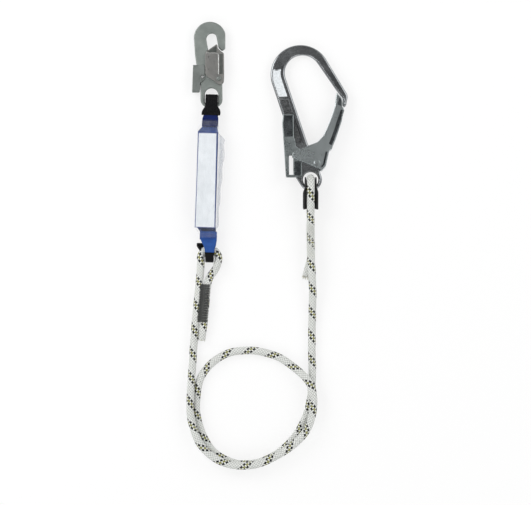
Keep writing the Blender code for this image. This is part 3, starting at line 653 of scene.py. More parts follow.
def setFloor():
    # pale to the camera and in reflections, and it keeps the object's shadow
    startMaterial("paleFloor")
    nodes = current["tree"].nodes
    nodes.remove(nodes["Principled BSDF"])
    plain = node("BsdfDiffuse", {"Color": (studio["floorWhite"],) * 3 + (1.0,)})
    glow = node("Emission", {"Strength": 1.0})
    light = node("LightPath").outputs
    mirrored = calc("MAXIMUM", light["Is Glossy Ray"], light["Is Transmission Ray"])
    seen = calc("MAXIMUM", light["Is Camera Ray"], mirrored)
    share = calc("MULTIPLY", seen, studio["floorGlow"])
    mixed = node("MixShader", {0: share, 1: plain.outputs[0], 2: glow.outputs[0]})
    setInputs(nodes["Material Output"], {"Surface": mixed.outputs[0]})
    half, low = studio["floorHalf"], -studio["floorDrop"]
    corners = [(-half, -half, low), (half, -half, low), (half, half, low), (-half, half, low)]
    mesh = bpy.data.meshes.new("floor")
    mesh.from_pydata(corners, [], [(0, 1, 2, 3)])
    mesh.materials.append(current["material"])
    floor = bpy.data.objects.new("floor", mesh)
    bpy.context.scene.collection.objects.link(floor)
    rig.stage(floor)


setCamera()
setLight()
setFloor()
print("camera and studio set")


# rope

rope = {
    "width": 11.5, "step": 1.0, "easing": 6, "sides": 36, "turn": 36.0, "strands": 8,
    "relief": 0.4, "reliefMiddle": 0.75, "oliveStrand": 3.0, "float": 0.66,
    "meltTurns": (30, 60, 82), "meltFlat": 0.45,
    "white": tone(224, 226, 222), "shadow": tone(112, 113, 110),
    "black": tone(18, 18, 20), "olive": tone(140, 139, 84),
    "tail": [
        (-7.8, -238.5, 1.0), (-6.0, -224, 1.6), (-4.35, -213, 2.05), (-1.72, -185, 2.05),
        (0.9, -157.5, 2.05), (4.8, -145, 2.9), (13.5, -133, 3.9),
    ],
    "leftEye": ((4.2, -117.5), 13.5, 11.25), "leftEyeArc": (-15, 195, 210 / 9),  # middle, radius, height
    "run": [
        (-9.4, -131, 4.1), (-10.2, -144, 2.9), (-11.55, -156.3, 2.05), (-14.17, -184, 2.05),
        (-16.8, -211.8, 2.05), (-20, -250, 0.4), (-22, -284, 1.6), (-24.2, -322, 8.1), (-23.2, -358, 9.6),
        (-8, -397.5, 11.5),
        (25.8, -423, 12), (71.7, -426, 12), (117.3, -405, 12), (148.2, -376.5, 12), (159.6, -340, 12),
        (155, -306, 11.6), (131.9, -282, 3.3), (104, -264.5, 0.1), (65.3, -255.9, 0), (26, -262.5, 0),
        (-5, -289, 0), (-15.3, -325, 0), (-12.5, -365, 0), (8, -406, 0), (46, -426, 0), (88, -420.5, 0),
        (126, -393, 0), (150, -352, 0), (158, -305, 0), (157.6, -250, 0), (158.2, -205, 0.9),
        (158.8, -170, 5.8), (157.6, -140, 11.3), (156.2, -117, 12.5), (155.85, -91, 12.5), (155.5, -66, 12.5),
    ],
    "end": [
        (155.5, -40, 0), (155.5, -66, 0), (155.85, -91, 0), (156.2, -117, 0), (152.5, -131, 0),
        (149.5, -143, 0),
    ],
    "ringEye": (155.5, -10.4, 18.4, 12.65),  # x, y, height and radius at the rope's middle
}
thimble = {
    "wall": 1.6, "play": 0.3, "rim": 9.6, "lip": 3.2, "lipBend": 0.8, "flange": 2.0,
    "straight": 10.0, "leg": 32.0, "pinch": 5.5, "seat": 5.0, "step": 0.6, "easing": 10,
    "corners": (0.4, 0.5, 0.6),  # slight, usual and full rounding of its section
}


def ropeRoute():
    lift = rope["width"] / 2
    x, y, z, radius = rope["ringEye"]
    middle, eye, height = rope["leftEye"]
    slope = math.atan(thimble["pinch"] / (thimble["leg"] - thimble["straight"]))
    heel = lift + thimble["wall"] + thimble["play"]
    route = [(a, b, lift + c) for a, b, c in rope["tail"]]
    route += [(a, b, height) for a, b in arcPoints(middle, eye, *rope["leftEyeArc"])]
    route += [(a, b, lift + c) for a, b, c in rope["run"]]
    route += [(x, y - thimble["leg"], z + thimble["seat"] - thimble["pinch"] + heel / math.cos(slope))]
    route += [(x, y - thimble["straight"] - heel * math.tan(slope / 2), z + radius)]
    route += [(x, a, b) for a, b in arcPoints((y, z), radius, 90, -90, 180 / 8)]
    route += [(a, b, lift + c) for a, b, c in rope["end"]]
    return np.array(route)


def curvedRoute(route, pieces=24):
    # a smooth line through the points, with its pull held to the span between them
    ends = np.vstack((2 * route[0] - route[1], route, 2 * route[-1] - route[-2]))
    line = []
    t = np.arange(pieces)[:, None] / pieces
    for i in range(len(route) - 1):
        a, b, c, d = ends[i : i + 4]
        span = np.linalg.norm(c - b)
        pullB, pullC = (
            pull * min(1.0, span / max(np.linalg.norm(pull), 0.001)) for pull in ((c - a) / 2, (d - b) / 2)
        )
        line.append(
            (2 * t**3 - 3 * t**2 + 1) * b + (t**3 - 2 * t**2 + t) * pullB
            + (3 * t**2 - 2 * t**3) * c + (t**3 - t**2) * pullC
        )
    return np.vstack((*line, route[-1:]))


def braidLook(name):
    # strands pass one over one; an olive strand runs between two black ones
    startMaterial(name)
    along, around = runPlace()
    turns = calc("DIVIDE", along, rope["turn"])
    count = rope["strands"]
    left = calc("MULTIPLY", calc("ADD", around, turns), count)
    right = calc("MULTIPLY", calc("SUBTRACT", around, turns), count)
    leftNumber, rightNumber = calc("FLOOR", left), calc("FLOOR", right)
    over = calc("LESS_THAN", oddEven(leftNumber, rightNumber), 1.0)
    height = pick(over, dome(right), dome(left))
    fibre = speckle(900, 2.0, 0.6)
    shadeAndMottle = weighted(height, 0.75, fibre, 0.3)
    # colour runs from the shadow tone in the gaps between strands to white on their crowns: painted shade, with fibre
    # speckle
    colour = ramp(shadeAndMottle, [(0.16, rope["shadow"]), (0.66, rope["white"])])
    yarn = calc("FLOORED_MODULO", leftNumber, float(count))
    fromOlive = calc("ABSOLUTE", calc("SUBTRACT", yarn, rope["oliveStrand"]))
    olive = calc("LESS_THAN", fromOlive, 0.5)
    black = calc("COMPARE", fromOlive, 1.0, 0.1)
    middle = oddEven(calc("ADD", right, leftNumber), 0.5)
    shown = calc("COMPARE", middle, 1.0, rope["float"])  # a tracer runs a little past its crossing
    for strand, dye in ((olive, rope["olive"]), (black, rope["black"])):
        colour = pickColour(calc("MULTIPLY", shown, strand), colour, dye)
    relief = calc("ADD", height, calc("MULTIPLY", fibre, 0.5))
    return finishMaterial({
        "Base Color": colour, "Roughness": 0.85, "Sheen Weight": 0.15,
        "Normal": bumped(relief, 0.35, 0.7),
    })


def makeRope():
    path = eased(spread(curvedRoute(ropeRoute()), rope["step"]), rope["easing"])
    radius, sides = rope["width"] / 2, rope["sides"]
    along, right, up = carryFrames(path)
    runs = runsOf(path)
    length = float(runs[-1])
    share = np.arange(sides) / sides
    turns = runs[:, None] / rope["turn"]
    leftward, rightward = rope["strands"] * (share + turns), rope["strands"] * (share - turns)
    over = np.mod(np.floor(leftward) + np.floor(rightward), 2) < 1
    lane = np.mod(np.where(over, leftward, rightward), 1)
    height = 1 - 4 * (lane - 0.5) ** 2
    girth = radius + rope["relief"] * (height - rope["reliefMiddle"])
    ring = roundRings(right, up, sides)
    rings = path[:, None, :] + girth[:, :, None] * ring
    # the cut ends are melted round
    rings = withDomes(rings, path, along, ring, radius, rope["meltTurns"], rope["meltFlat"])
    steps = np.arange(1, len(rope["meltTurns"]) + 1)
    runs = np.concatenate((runs[0] - steps[::-1], runs, runs[-1] + steps))
    shell = emptyShell()
    addGrid(shell, rings, runs, np.linspace(0, 1, sides + 1))
    look = braidLook("braidedRope")
    piece = makePiece("rope_braid", shell, look, "rope", "rope", standsFor="rope", smooth=180)
    print("rope length", round(length), "mm")
    return piece, path * mm, length * mm


# sewn splices, thimble and frayed ends

splices = {
    "proud": 0.3, "sides": 7,
    "left": {
        "top": -157.0, "foot": -212.5, "pitch": 1.25,
        "thread": 0.72, "points": 9, "jitter": 0.12, "slant": 0.315,
        "low": tone(36, 38, 37), "high": tone(78, 80, 77),
        # angles round the strands: the inner one, the least and the usual outer one with its loss and spread
        "standing": (36, 44, 64, 4, 6),
        # the outer one, then the inner one with its loss down the splice and spread
        "tail": (144, 50, 14, 9),
    },
    "right": {
        "top": -68.0, "foot": -116.0, "pitch": 3.0, "thread": 0.42, "points": 8, "jitter": 0.1, "slant": 0.5,
        "low": tone(176, 176, 170), "high": tone(234, 234, 229), "upper": (96, -12), "lower": (12, -40),
    },
}
frays = {
    "yarn": 0.34, "sides": 6, "points": 6,
    "ends": [(-1, 44, 5.0), (0, 30, 2.4)],  # end of the rope, number of yarns, reach
    "spread": 0.4, "stray": 0.5, "reach": (0.45, 1.1), "root": 1.2, "inset": 0.7, "floor": 0.05,
    "low": tone(172, 172, 152), "high": tone(226, 226, 216),
}


def threadLook(name, low, high):
    startMaterial(name)
    along, around = runPlace()
    ply = dome(weighted(along, 1.6, around, 0.9))
    # the thread is darker where its plies dip apart: painted shade, with speckle
    shadeAndMottle = weighted(ply, 0.5, speckle(700), 0.5)
    return finishMaterial({
        "Base Color": ramp(shadeAndMottle, [(0.2, low), (0.8, high)]), "Roughness": 0.75, "Sheen Weight": 0.2,
        "Normal": bumped(ply, 0.15, 0.8),
    })


def plasticLook(name, colour, rough, grain):
    startMaterial(name)
    fine = speckle(500, 4.0, 0.6)
    low = tuple(c * 0.7 for c in colour[:3]) + (1.0,)
    return finishMaterial({
        "Base Color": ramp(fine, [(0.3, low), (0.7, colour)]),
        "Roughness": fromTo(fine, 0.3, 0.7, rough - 0.08, rough + 0.08),
        "Normal": bumped(fine, grain, 0.5),
    })


def stitchRows(sizes, first, second):
    # share of the way down each row of stitches, and the middles of the two strands there
    count = round((sizes["top"] - sizes["foot"]) / sizes["pitch"])
    for share in (k / count for k in range(count + 1)):
        y = sizes["top"] + (sizes["foot"] - sizes["top"]) * share
        spots = []
        for a, b in (first, second):
            x, _, z = between(a, b, (y - a[1]) / (b[1] - a[1]))
            spots.append(np.array((x, y, rope["width"] / 2 + z)))
        yield share, spots


def addStitch(shell, draw, sizes, arcs, flip, slant):
    # one thread laid over two strands
    radius = rope["width"] / 2 + splices["proud"]
    points = []
    for middle, low, high in arcs:
        for turn in np.radians(np.linspace(low, high, sizes["points"])):
            lean = draw.uniform(-sizes["jitter"], sizes["jitter"])
            reach = (flip[0] * radius * math.cos(turn), lean, flip[1] * radius * math.sin(turn))
            points.append(middle + np.array(reach))
    points = np.array(points)
    points[:, 1] += np.linspace(-slant, slant, len(points))
    addTube(shell, points, sizes["thread"], splices["sides"])


def makeLeftSplice():
    shell, draw, sizes = emptyShell(), np.random.default_rng(4), splices["left"]
    strands = (rope["run"][2], rope["run"][4]), (rope["tail"][4], rope["tail"][2])
    inner, least, outer, loss, stray = sizes["standing"]
    tailOuter, tailInner, tailLoss, tailStray = sizes["tail"]
    for side in (1, -1):
        for k, (share, (standing, tail)) in enumerate(stitchRows(sizes, *strands)):
            start = outer - loss * share + draw.uniform(-stray, stray)
            stop = tailInner - tailLoss * share + draw.uniform(-tailStray, tailStray)
            arcs = ((standing, max(start, least), inner), (tail, tailOuter, stop))
            addStitch(shell, draw, sizes, arcs, (1, side), sizes["slant"] * (1 if k % 2 else -1))
    look = threadLook("greyThread", sizes["low"], sizes["high"])
    return makePiece("left_splice_rows", shell, look, "rope", "thread", standsFor="left_splice_stitching")


def makeRightSplice():
    shell, draw, sizes = emptyShell(), np.random.default_rng(5), splices["right"]
    strands = (rope["run"][-1], rope["run"][-3]), (rope["end"][1], rope["end"][3])
    for _, (upper, lower) in stitchRows(sizes, *strands):
        for side in (1, -1):
            arcs = ((upper, *sizes["upper"]), (lower, *sizes["lower"]))
            addStitch(shell, draw, sizes, arcs, (side, 1), sizes["slant"] * side)
    look = threadLook("paleThread", sizes["low"], sizes["high"])
    return makePiece("right_splice_rows", shell, look, "rope", "thread", standsFor="right_splice_stitching")


def makeThimble():
    x, y, z, _ = rope["ringEye"]
    wall, rim, bowl, leg = thimble["wall"], thimble["rim"], thimble["seat"], thimble["leg"]
    top = y - thimble["straight"]
    root = rim / 2
    inside = rope["width"] / 2 + thimble["play"]
    outside = inside + thimble["flange"]
    seat = [(y - leg, -bowl), (top, -bowl)] + arcPoints((y, 0.0), bowl, -90, 90, 6)
    seat += [(top, bowl), (y - leg, bowl - thimble["pinch"])]
    line = eased(spread(seat, thimble["step"]), thimble["easing"])
    slight, soft, full = thimble["corners"]
    rings = []
    for (py, pz), (ny, nz) in zip(line, -leftOf(headings(line))):
        bend = easeStep(min(1.0, max(0.0, (py - top) / thimble["straight"])))
        lip = thimble["lip"] + (thimble["lipBend"] - thimble["lip"]) * bend
        right = [
            (outside - soft, 0.0), (outside, soft), (outside, root), (outside + lip * 0.5, root * 1.5),
            (outside + lip, rim - full), (outside + lip - soft, rim),
            (inside + lip + slight, rim), (inside + lip, rim - soft),
            (inside + lip * 0.5, root * 1.5), (inside, root), (inside, wall + slight), (inside - soft, wall),
        ]
        section = right + [(-a, n) for a, n in right[::-1]]
        rings.append([(x + a, py + n * ny, z + pz + n * nz) for a, n in section])
    shell = emptyShell()
    addGrid(shell, rings)
    look = plasticLook("blackPlastic", tone(30, 30, 31), 0.42, 0.05)
    return makePiece("thimble_moulding", shell, look, "rope", "thimble", standsFor="rope_thimble", smooth=50)


def makeFrays(path):
    # loose yarn ends at the two cut tails
    shell = emptyShell()
    draw = np.random.default_rng(12)
    steps = np.linspace(0, 1, frays["points"])[:, None]
    for end, count, reach in frays["ends"]:
        along = path[end] - path[-4 if end else 3]
        along = along / np.linalg.norm(along)
        side = np.cross(along, (0.0, 0.0, 1.0))
        up = np.cross(side, along)
        for _ in range(count):
            away, turn = math.sqrt(draw.uniform(0, 1)), draw.uniform(0, 2 * math.pi)
            out = away * (math.cos(turn) * side + math.sin(turn) * up)
            lean = frays["spread"] * (out + frays["stray"] * draw.normal(0, 1, 3))
            length = reach * draw.uniform(*frays["reach"])
            root = path[end] - along * frays["root"] + out * (rope["width"] / 2 - frays["inset"])
            points = root + along * (frays["root"] + length) * steps + lean * length * steps**2
            points[:, 2] = np.maximum(points[:, 2], frays["yarn"] + frays["floor"])
            addTube(shell, points, frays["yarn"], frays["sides"])
    look = threadLook("frayedYarn", frays["low"], frays["high"])
    return makePiece("tail_frays", shell, look, "rope", "rope")


ropePiece, ropePath, ropeLength = makeRope()
leftSplice = makeLeftSplice()
rightSplice = makeRightSplice()
thimblePiece = makeThimble()
tailFrays = makeFrays(ropePath / mm)
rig.cord(
    ropePiece, exit=tuple(ropePath[0]), length=ropeLength, diameter=rope["width"] * mm, far_end="object",
    stiffness="medium", lay="loose", path=ropePath[::4].tolist() + ropePath[-1:].tolist(),
    with_pieces=[leftSplice, rightSplice, thimblePiece, tailFrays],
)
print("rope, splices and thimble made")


# metal finishes

metalFinishes = {  # low and high tone, smoothest and roughest, size of the mottling, depth of the grain
    "satinZinc": ((130, 136, 133), (150, 156, 152), 0.42, 0.6, 60, 0.03),
    "satinZincGate": ((122, 122, 120), (146, 145, 142), 0.4, 0.58, 60, 0.03),
    # darker zinc for the pressed recesses and dots: painted shade
    "satinZincPaintedShade": ((74, 77, 75), (104, 107, 104), 0.42, 0.6, 60, 0.04),
    # lighter, smoother zinc for the pressed rib: a painted highlight line
    "zincPaintedHighlight": ((196, 198, 196), (222, 224, 222), 0.24, 0.36, 80, 0.02),
    "satinZincLever": ((116, 121, 118), (138, 143, 140), 0.45, 0.62, 60, 0.03),
    "rivetSteel": ((150, 150, 150), (182, 182, 182), 0.28, 0.42, 150, 0.02),
    "springWire": ((120, 120, 122), (160, 160, 162), 0.25, 0.4, 300, 0.02),
    "darkChrome": ((132, 135, 137), (158, 161, 163), 0.14, 0.26, 40, 0.03),
    "darkChromeSheet": ((128, 135, 136), (158, 165, 165), 0.22, 0.36, 50, 0.03),
    "brightChromeSheet": ((164, 171, 172), (180, 187, 188), 0.24, 0.34, 35, 0.015),
    # darker chrome for the pressed recesses: painted shade and dark reflection
    "chromePaintedShade": ((62, 66, 68), (104, 109, 111), 0.2, 0.36, 60, 0.05),
}


def metalLook(name, low, high, smoothest, roughest, scale, grain):
    startMaterial(name)
    broad = speckle(scale, 4.0, 0.6)
    fine = speckle(scale * 9, 3.0, 0.6)
    shadeAndMottle = weighted(broad, 0.6, fine, 0.4)
    return finishMaterial({
        "Base Color": ramp(broad, [(0.3, tone(*low)), (0.7, tone(*high))]), "Metallic": 1.0,
        "Roughness": fromTo(shadeAndMottle, 0.3, 0.7, smoothest, roughest),
        "Normal": bumped(fine, grain, 0.6),
    })


def castLook(name, low, high):
    startMaterial(name)
    pits = speckle(620, 4.0, 0.7)
    return finishMaterial({
        "Base Color": ramp(pits, [(0.38, low), (0.62, high)]), "Metallic": 0.6,
        "Roughness": fromTo(pits, 0.3, 0.7, 0.6, 0.3), "Normal": bumped(pits, 0.9, 1.0),
    })


metals = {name: metalLook(name, *finish) for name, finish in metalFinishes.items()}


# parts that both hooks have; each takes its sizes from the hook's own dictionary

pressing = {
    "roll": 0.42, "webInset": 0.04, "webRoll": 1.0,  # roll of the cheeks as a share of the sheet
    "dot": 0.9, "dotSides": 20, "dotSlope": 0.3, "ribSunk": 0.1, "ribSides": 12,
}
pins = {"proud": 0.3, "rim": 0.3, "crown": 0.1, "chamfer": 0.3, "tip": 0.15}
springs = {"turns": 1.25, "gap": 0.12, "stand": 0.1, "lead": 0.4, "coilTurns": 3.5, "sides": 10}


def addStrip(shell, path, inward, thick, half, roll):
    # a strip of sheet on edge along a line in the hook's plane, with its outer corners rolled
    line = eased(spread(path, 0.8), 4)
    side = inward * leftOf(headings(line))
    section = [(roll * (1 - math.sin(a)), half - roll * (1 - math.cos(a))) for a in quarterTurn(4)]
    section += [(n, -z) for n, z in section[::-1]]
    section += [(thick, -half), (thick, half)]
    rings = [[(x + n * sx, y + n * sy, z) for n, z in section] for (x, y), (sx, sy) in zip(line, side)]
    addGrid(shell, rings)


def cheekAt(sizes, part):
    # height of the inner faces of a channel's cheeks; the gate's straddle the lever's
    lever = sizes["plate"] / 2 + sizes["run"]
    return lever if part == "lever" else lever + sizes["run"] + sizes["sheet"]


def boreAt(sizes, part, roll):
    return circlePoints(sizes[part + "Pivot"], sizes["bore"], sizes["boreSides"]), roll


def makeForging(sizes, looks, outline, eye, pockets=(), steps=4, smooth=40):
    name, edge = sizes["name"], sizes["edge"]
    holes = [(eye, edge)] + [boreAt(sizes, part, sizes["forgedRoll"]) for part in ("gate", "lever")]
    shell = emptyShell()
    addPlate(shell, softLoop(outline, 0.8, 4), holes, sizes["plate"], edge, pockets, 0.0, steps)
    body, standsFor = f"{name}_hook", f"{name}_hook_body"
    makePiece(f"{name}_forging", shell, looks, body, sizes["slot"], sizes["place"], standsFor, smooth)


def makePressing(sizes, part, looks, outline, web, passes=4):
    # a bent channel: two cheeks of one outline with their pressed recesses, and the web that joins them
    name, sheet, inside = sizes["name"], sizes["sheet"], cheekAt(sizes, part)
    outside = inside + sheet
    windows, recesses, dots = (sizes.get(part + kind, ()) for kind in ("Windows", "Recesses", "Dots"))
    holes = [boreAt(sizes, part, sizes["pressedRoll"])]
    holes += [(softLoop(loop, 0.6, 3), sizes["windowRoll"]) for loop in windows]
    beds = [(softLoop(loop, 0.6, 2), sizes["recessSlope"]) for loop in recesses]
    dot, sides, slope = pressing["dot"], pressing["dotSides"], pressing["dotSlope"]
    beds += [(circlePoints(spot, dot, sides), slope) for spot in dots]
    # the recesses and dots take the second look, a darker copy of the metal: painted shade
    pockets = [(loop, sizes["recess"], slope, (0.0, 0.0), 1) for loop, slope in beds]
    shell = emptyShell()
    loop = softLoop(outline, 0.8, passes)
    for side in (1, -1):
        addPlate(shell, loop, holes, sheet, sheet * pressing["roll"], pockets, side * (inside + sheet / 2), 3)
    inward = -1 if part == "gate" else 1
    addStrip(shell, web, inward, sheet, outside - pressing["webInset"], pressing["webRoll"])
    # the rib takes the third look, lighter than the cheeks: a painted highlight
    if part + "Rib" in sizes:
        rib = eased(spread(sizes[part + "Rib"], 0.6), 4)
        for side in (1, -1):
            line = atHeight(rib, side * (outside - pressing["ribSunk"]))
            addTube(shell, line, sizes["ribRadius"], pressing["ribSides"], 2)
    body, standsFor = f"{name}_{part}", f"{name}_gate" if part == "gate" else f"{name}_lock_lever"
    makePiece(f"{name}_{part}_pressing", shell, looks, body, sizes["slot"], sizes["place"], standsFor)


def rivetProfile(radius, reach, head, headHeight):
    # (radius, height) from end to end; a rivet without heads has chamfered ends
    if head:
        top = [(radius, reach), (head, reach)]
        for angle in quarterTurn(6):
            rise = headHeight * (pins["rim"] + (1 - pins["rim"]) * math.sin(angle))
            top.append((max(pins["crown"], head * math.cos(angle) ** 0.8), reach + rise))
    else:
        chamfer = pins["chamfer"]
        top = [(radius, reach - chamfer), (radius - chamfer, reach), (pins["tip"], reach)]
    return [(r, -z) for r, z in top[::-1]] + top


def makePins(sizes, gateLook, leverLook):
    # the gate's rivet has heads, the lever's ends flush
    name = sizes["name"]
    for part, head, look in (("gate", sizes["head"], gateLook), ("lever", 0, leverLook)):
        reach = cheekAt(sizes, part) + sizes["sheet"] + (pins["proud"] if head else 0.0)
        shell = emptyShell()
        profile = rivetProfile(sizes["rivet"], reach, head, sizes["headHeight"])
        addTurned(shell, profile, sizes[part + "Pivot"])
        body, standsFor = f"{name}_hook", f"{name}_{part}_rivet"
        makePiece(f"{name}_{part}_pin", shell, look, body, "rivet", sizes["place"], standsFor)


def torsionPath(sizes, steps=60):
    # a coil round the gate's pivot with a short leg and a long one
    wire, leg, turns, short = sizes["wire"], sizes["leg"], springs["turns"], springs["lead"]
    radius, pitch = sizes["bore"] + wire, 2 * wire + springs["gap"]
    low = sizes["plate"] / 2 + springs["stand"]
    points = []
    for k in range(steps + 1):
        x, y = np.array(sizes["gatePivot"]) + radius * unitAt(sizes["legStart"] + 360 * turns * k / steps)
        points.append((x, y, low + wire + pitch * turns * k / steps))
    points = np.array(points)
    first, last = points[0] - points[1], points[-1] - points[-2]
    first[2] = last[2] = 0
    lead = points[0] + first / np.linalg.norm(first) * np.linspace(leg * 0.5, short, 6)[:, None]
    tail = points[-1] + last / np.linalg.norm(last) * np.linspace(short, leg, 9)[:, None]
    return np.vstack((lead, points, tail))


def coilPath(start, end, radius, wire):
    start, end = np.array((*start, 0.0)), np.array((*end, 0.0))
    along = (end - start) / np.linalg.norm(end - start)
    side, up = np.array((-along[1], along[0], 0.0)), np.array((0, 0, 1.0))
    share = np.linspace(0, 1, 120)[:, None]
    angle = 2 * math.pi * springs["coilTurns"] * share
    span = np.linalg.norm(end - start) - 2 * wire
    return start + along * (wire + span * share) + radius * (np.cos(angle) * side + np.sin(angle) * up)


def makeSprings(sizes, seat, stop):
    # the gate spring's long leg turns with the gate, and its coil winds up below the pivot
    name, wire, place = sizes["name"], sizes["wire"], sizes["place"]
    turn, origin = place
    pivot = np.array((*sizes["gatePivot"], 0.0)) * mm
    below = pivot + (sizes["bore"] + wire) * mm * np.array((*unitAt(sizes["legStart"]), 0.0))
    legTurn = (f"{name}_gate", turn @ below + origin, turn @ pivot + origin)
    paths = {"gate": torsionPath(sizes), "lever": coilPath(seat, stop, sizes["coil"], wire)}
    look, body = metals["springWire"], f"{name}_hook"
    for part, bend in (("gate", legTurn), ("lever", None)):
        shell = emptyShell()
        addTube(shell, paths[part], wire, springs["sides"])
        standsFor = f"{name}_{part}_spring"
        piece = makePiece(f"{name}_{part}_wire", shell, look, body, "spring", place, standsFor, bend=bend)
    return piece  # the lever's


# snap hook

snap = {
    "name": "snap", "place": snapPlace, "slot": "zinc",
    "plate": 6.0, "edge": 1.6, "bar": 6.0,
    "eye": (20.0, 23.0), "eyeCorner": 1.4, "eyeOuter": 33.0, "eyeRound": 12.0,
    "bowl": ((-2.4, 101.7), 24.0, 15, 190), "throat": ((0.6, 99.8), 8.4, 186, 40),  # middle, radius, from, to
    "neck": [(-4.5, 53.0), (-5.0, 83.0)], "nose": [(10.5, 86.85), (15.75, 81.6), (20.7, 85.0)],
    "back": [(-24.9, 77.25), (-22.8, 62.85), (-18.0, 45.0)], "backFoot": 32.0,
    "gatePivot": (11.0, 40.0), "gateHub": (5.5, -20, 110), "leverPivot": (-13.5, 42.75),
    "sheet": 1.3, "run": 0.4, "bore": 2.5, "boreSides": 32, "forgedRoll": 0.3, "pressedRoll": 0.25,
    "rivet": 2.2, "head": 3.6, "headHeight": 1.0, "wire": 0.4, "leg": 12.0, "legStart": -84,
    "coil": 2.3, "coilAt": 27.0, "coilGap": 0.3, "coilKeep": 0.58,
    "gate": [
        (7.6, 91.5), (-5.1, 82.6), (-9.3, 78.5), (-9.3, 46.0), (-5.0, 41.5), (3.0, 37.5), (8.0, 32.5),
        (12.5, 30.5), (15.5, 31.5), (18.4, 36.0), (18.9, 45.0), (18.6, 78.5), (15.2, 80.2), (9.4, 85.6),
        (9.0, 91.0),
    ],
    "gateWeb": [(15.2, 80.2), (18.6, 78.5), (18.9, 45.0), (18.4, 36.0)],
    "gateRecesses": [
        [(6.7, 89.4), (-4.2, 81.9), (-6.8, 79.4), (8.2, 79.4), (8.2, 85.2), (7.8, 89.0)],
        [(11.9, 77.4), (11.9, 46.5), (17.6, 46.5), (17.4, 77.2)],
    ],
    "gateDots": [(-4.3, 72.3), (-4.3, 54.2)], "recess": 0.5, "recessSlope": 0.55,
    "gateRib": [(-7.6, 78.2), (8.6, 78.2), (10.6, 76.2), (10.6, 47.0)], "ribRadius": 0.5,
    "lever": [(-27.6, 60.6), (-29.0, 20.0), (-18.0, 20.0), (-16.6, 34.0), (-9.8, 38.5), (-9.8, 60.6)],
    "leverWeb": [(-27.6, 60.6), (-29.0, 20.0)],
}


def makeSnapHook():
    width, height = snap["eye"]
    low, corner, domeR = snap["bar"] / 2, snap["eyeCorner"], width / 2
    half, big = snap["eyeOuter"] / 2, snap["eyeRound"]
    outline = arcPoints((big - half, big - low), big, 180, 270)
    outline += arcPoints((half - big, big - low), big, 270, 360)
    outline += arcPoints(snap["gatePivot"], *snap["gateHub"]) + snap["neck"]
    outline += arcPoints(*snap["throat"]) + snap["nose"]
    outline += arcPoints(*snap["bowl"]) + snap["back"] + [(-half, snap["backFoot"])]
    eye = arcPoints((corner - domeR, low + corner), corner, 180, 270, 15)
    eye += arcPoints((domeR - corner, low + corner), corner, 270, 360, 15)
    eye += arcPoints((0.0, low + height - domeR), domeR, 0, 180)
    makeForging(snap, metals["satinZinc"], outline, softLoop(eye, 0.8, 2))

    gateLooks = [metals[name] for name in ("satinZincGate", "satinZincPaintedShade", "zincPaintedHighlight")]
    leverLook = metals["satinZincLever"]
    makePressing(snap, "gate", gateLooks, snap["gate"], snap["gateWeb"])
    makePressing(snap, "lever", leverLook, snap["lever"], snap["leverWeb"], 2)
    makePins(snap, leverLook, metals["rivetSteel"])

    at, gap = snap["coilAt"], snap["coilGap"]
    (topX, topY), (footX, footY) = snap["leverWeb"]
    seat = (footX + (topX - footX) * (at - footY) / (topY - footY) + snap["sheet"] + gap, at)
    stop = (-half - gap, at)
    spring = makeSprings(snap, seat, stop)
    anchor = np.array((*stop, 0.0)) * mm + snapPlace[1]
    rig.squash(spring, "snap_lever_press", axis=(1.0, 0.0, 0.0), anchor=tuple(anchor), keep=snap["coilKeep"])


makeSnapHook()
print("snap hook made")


# scaffold hook

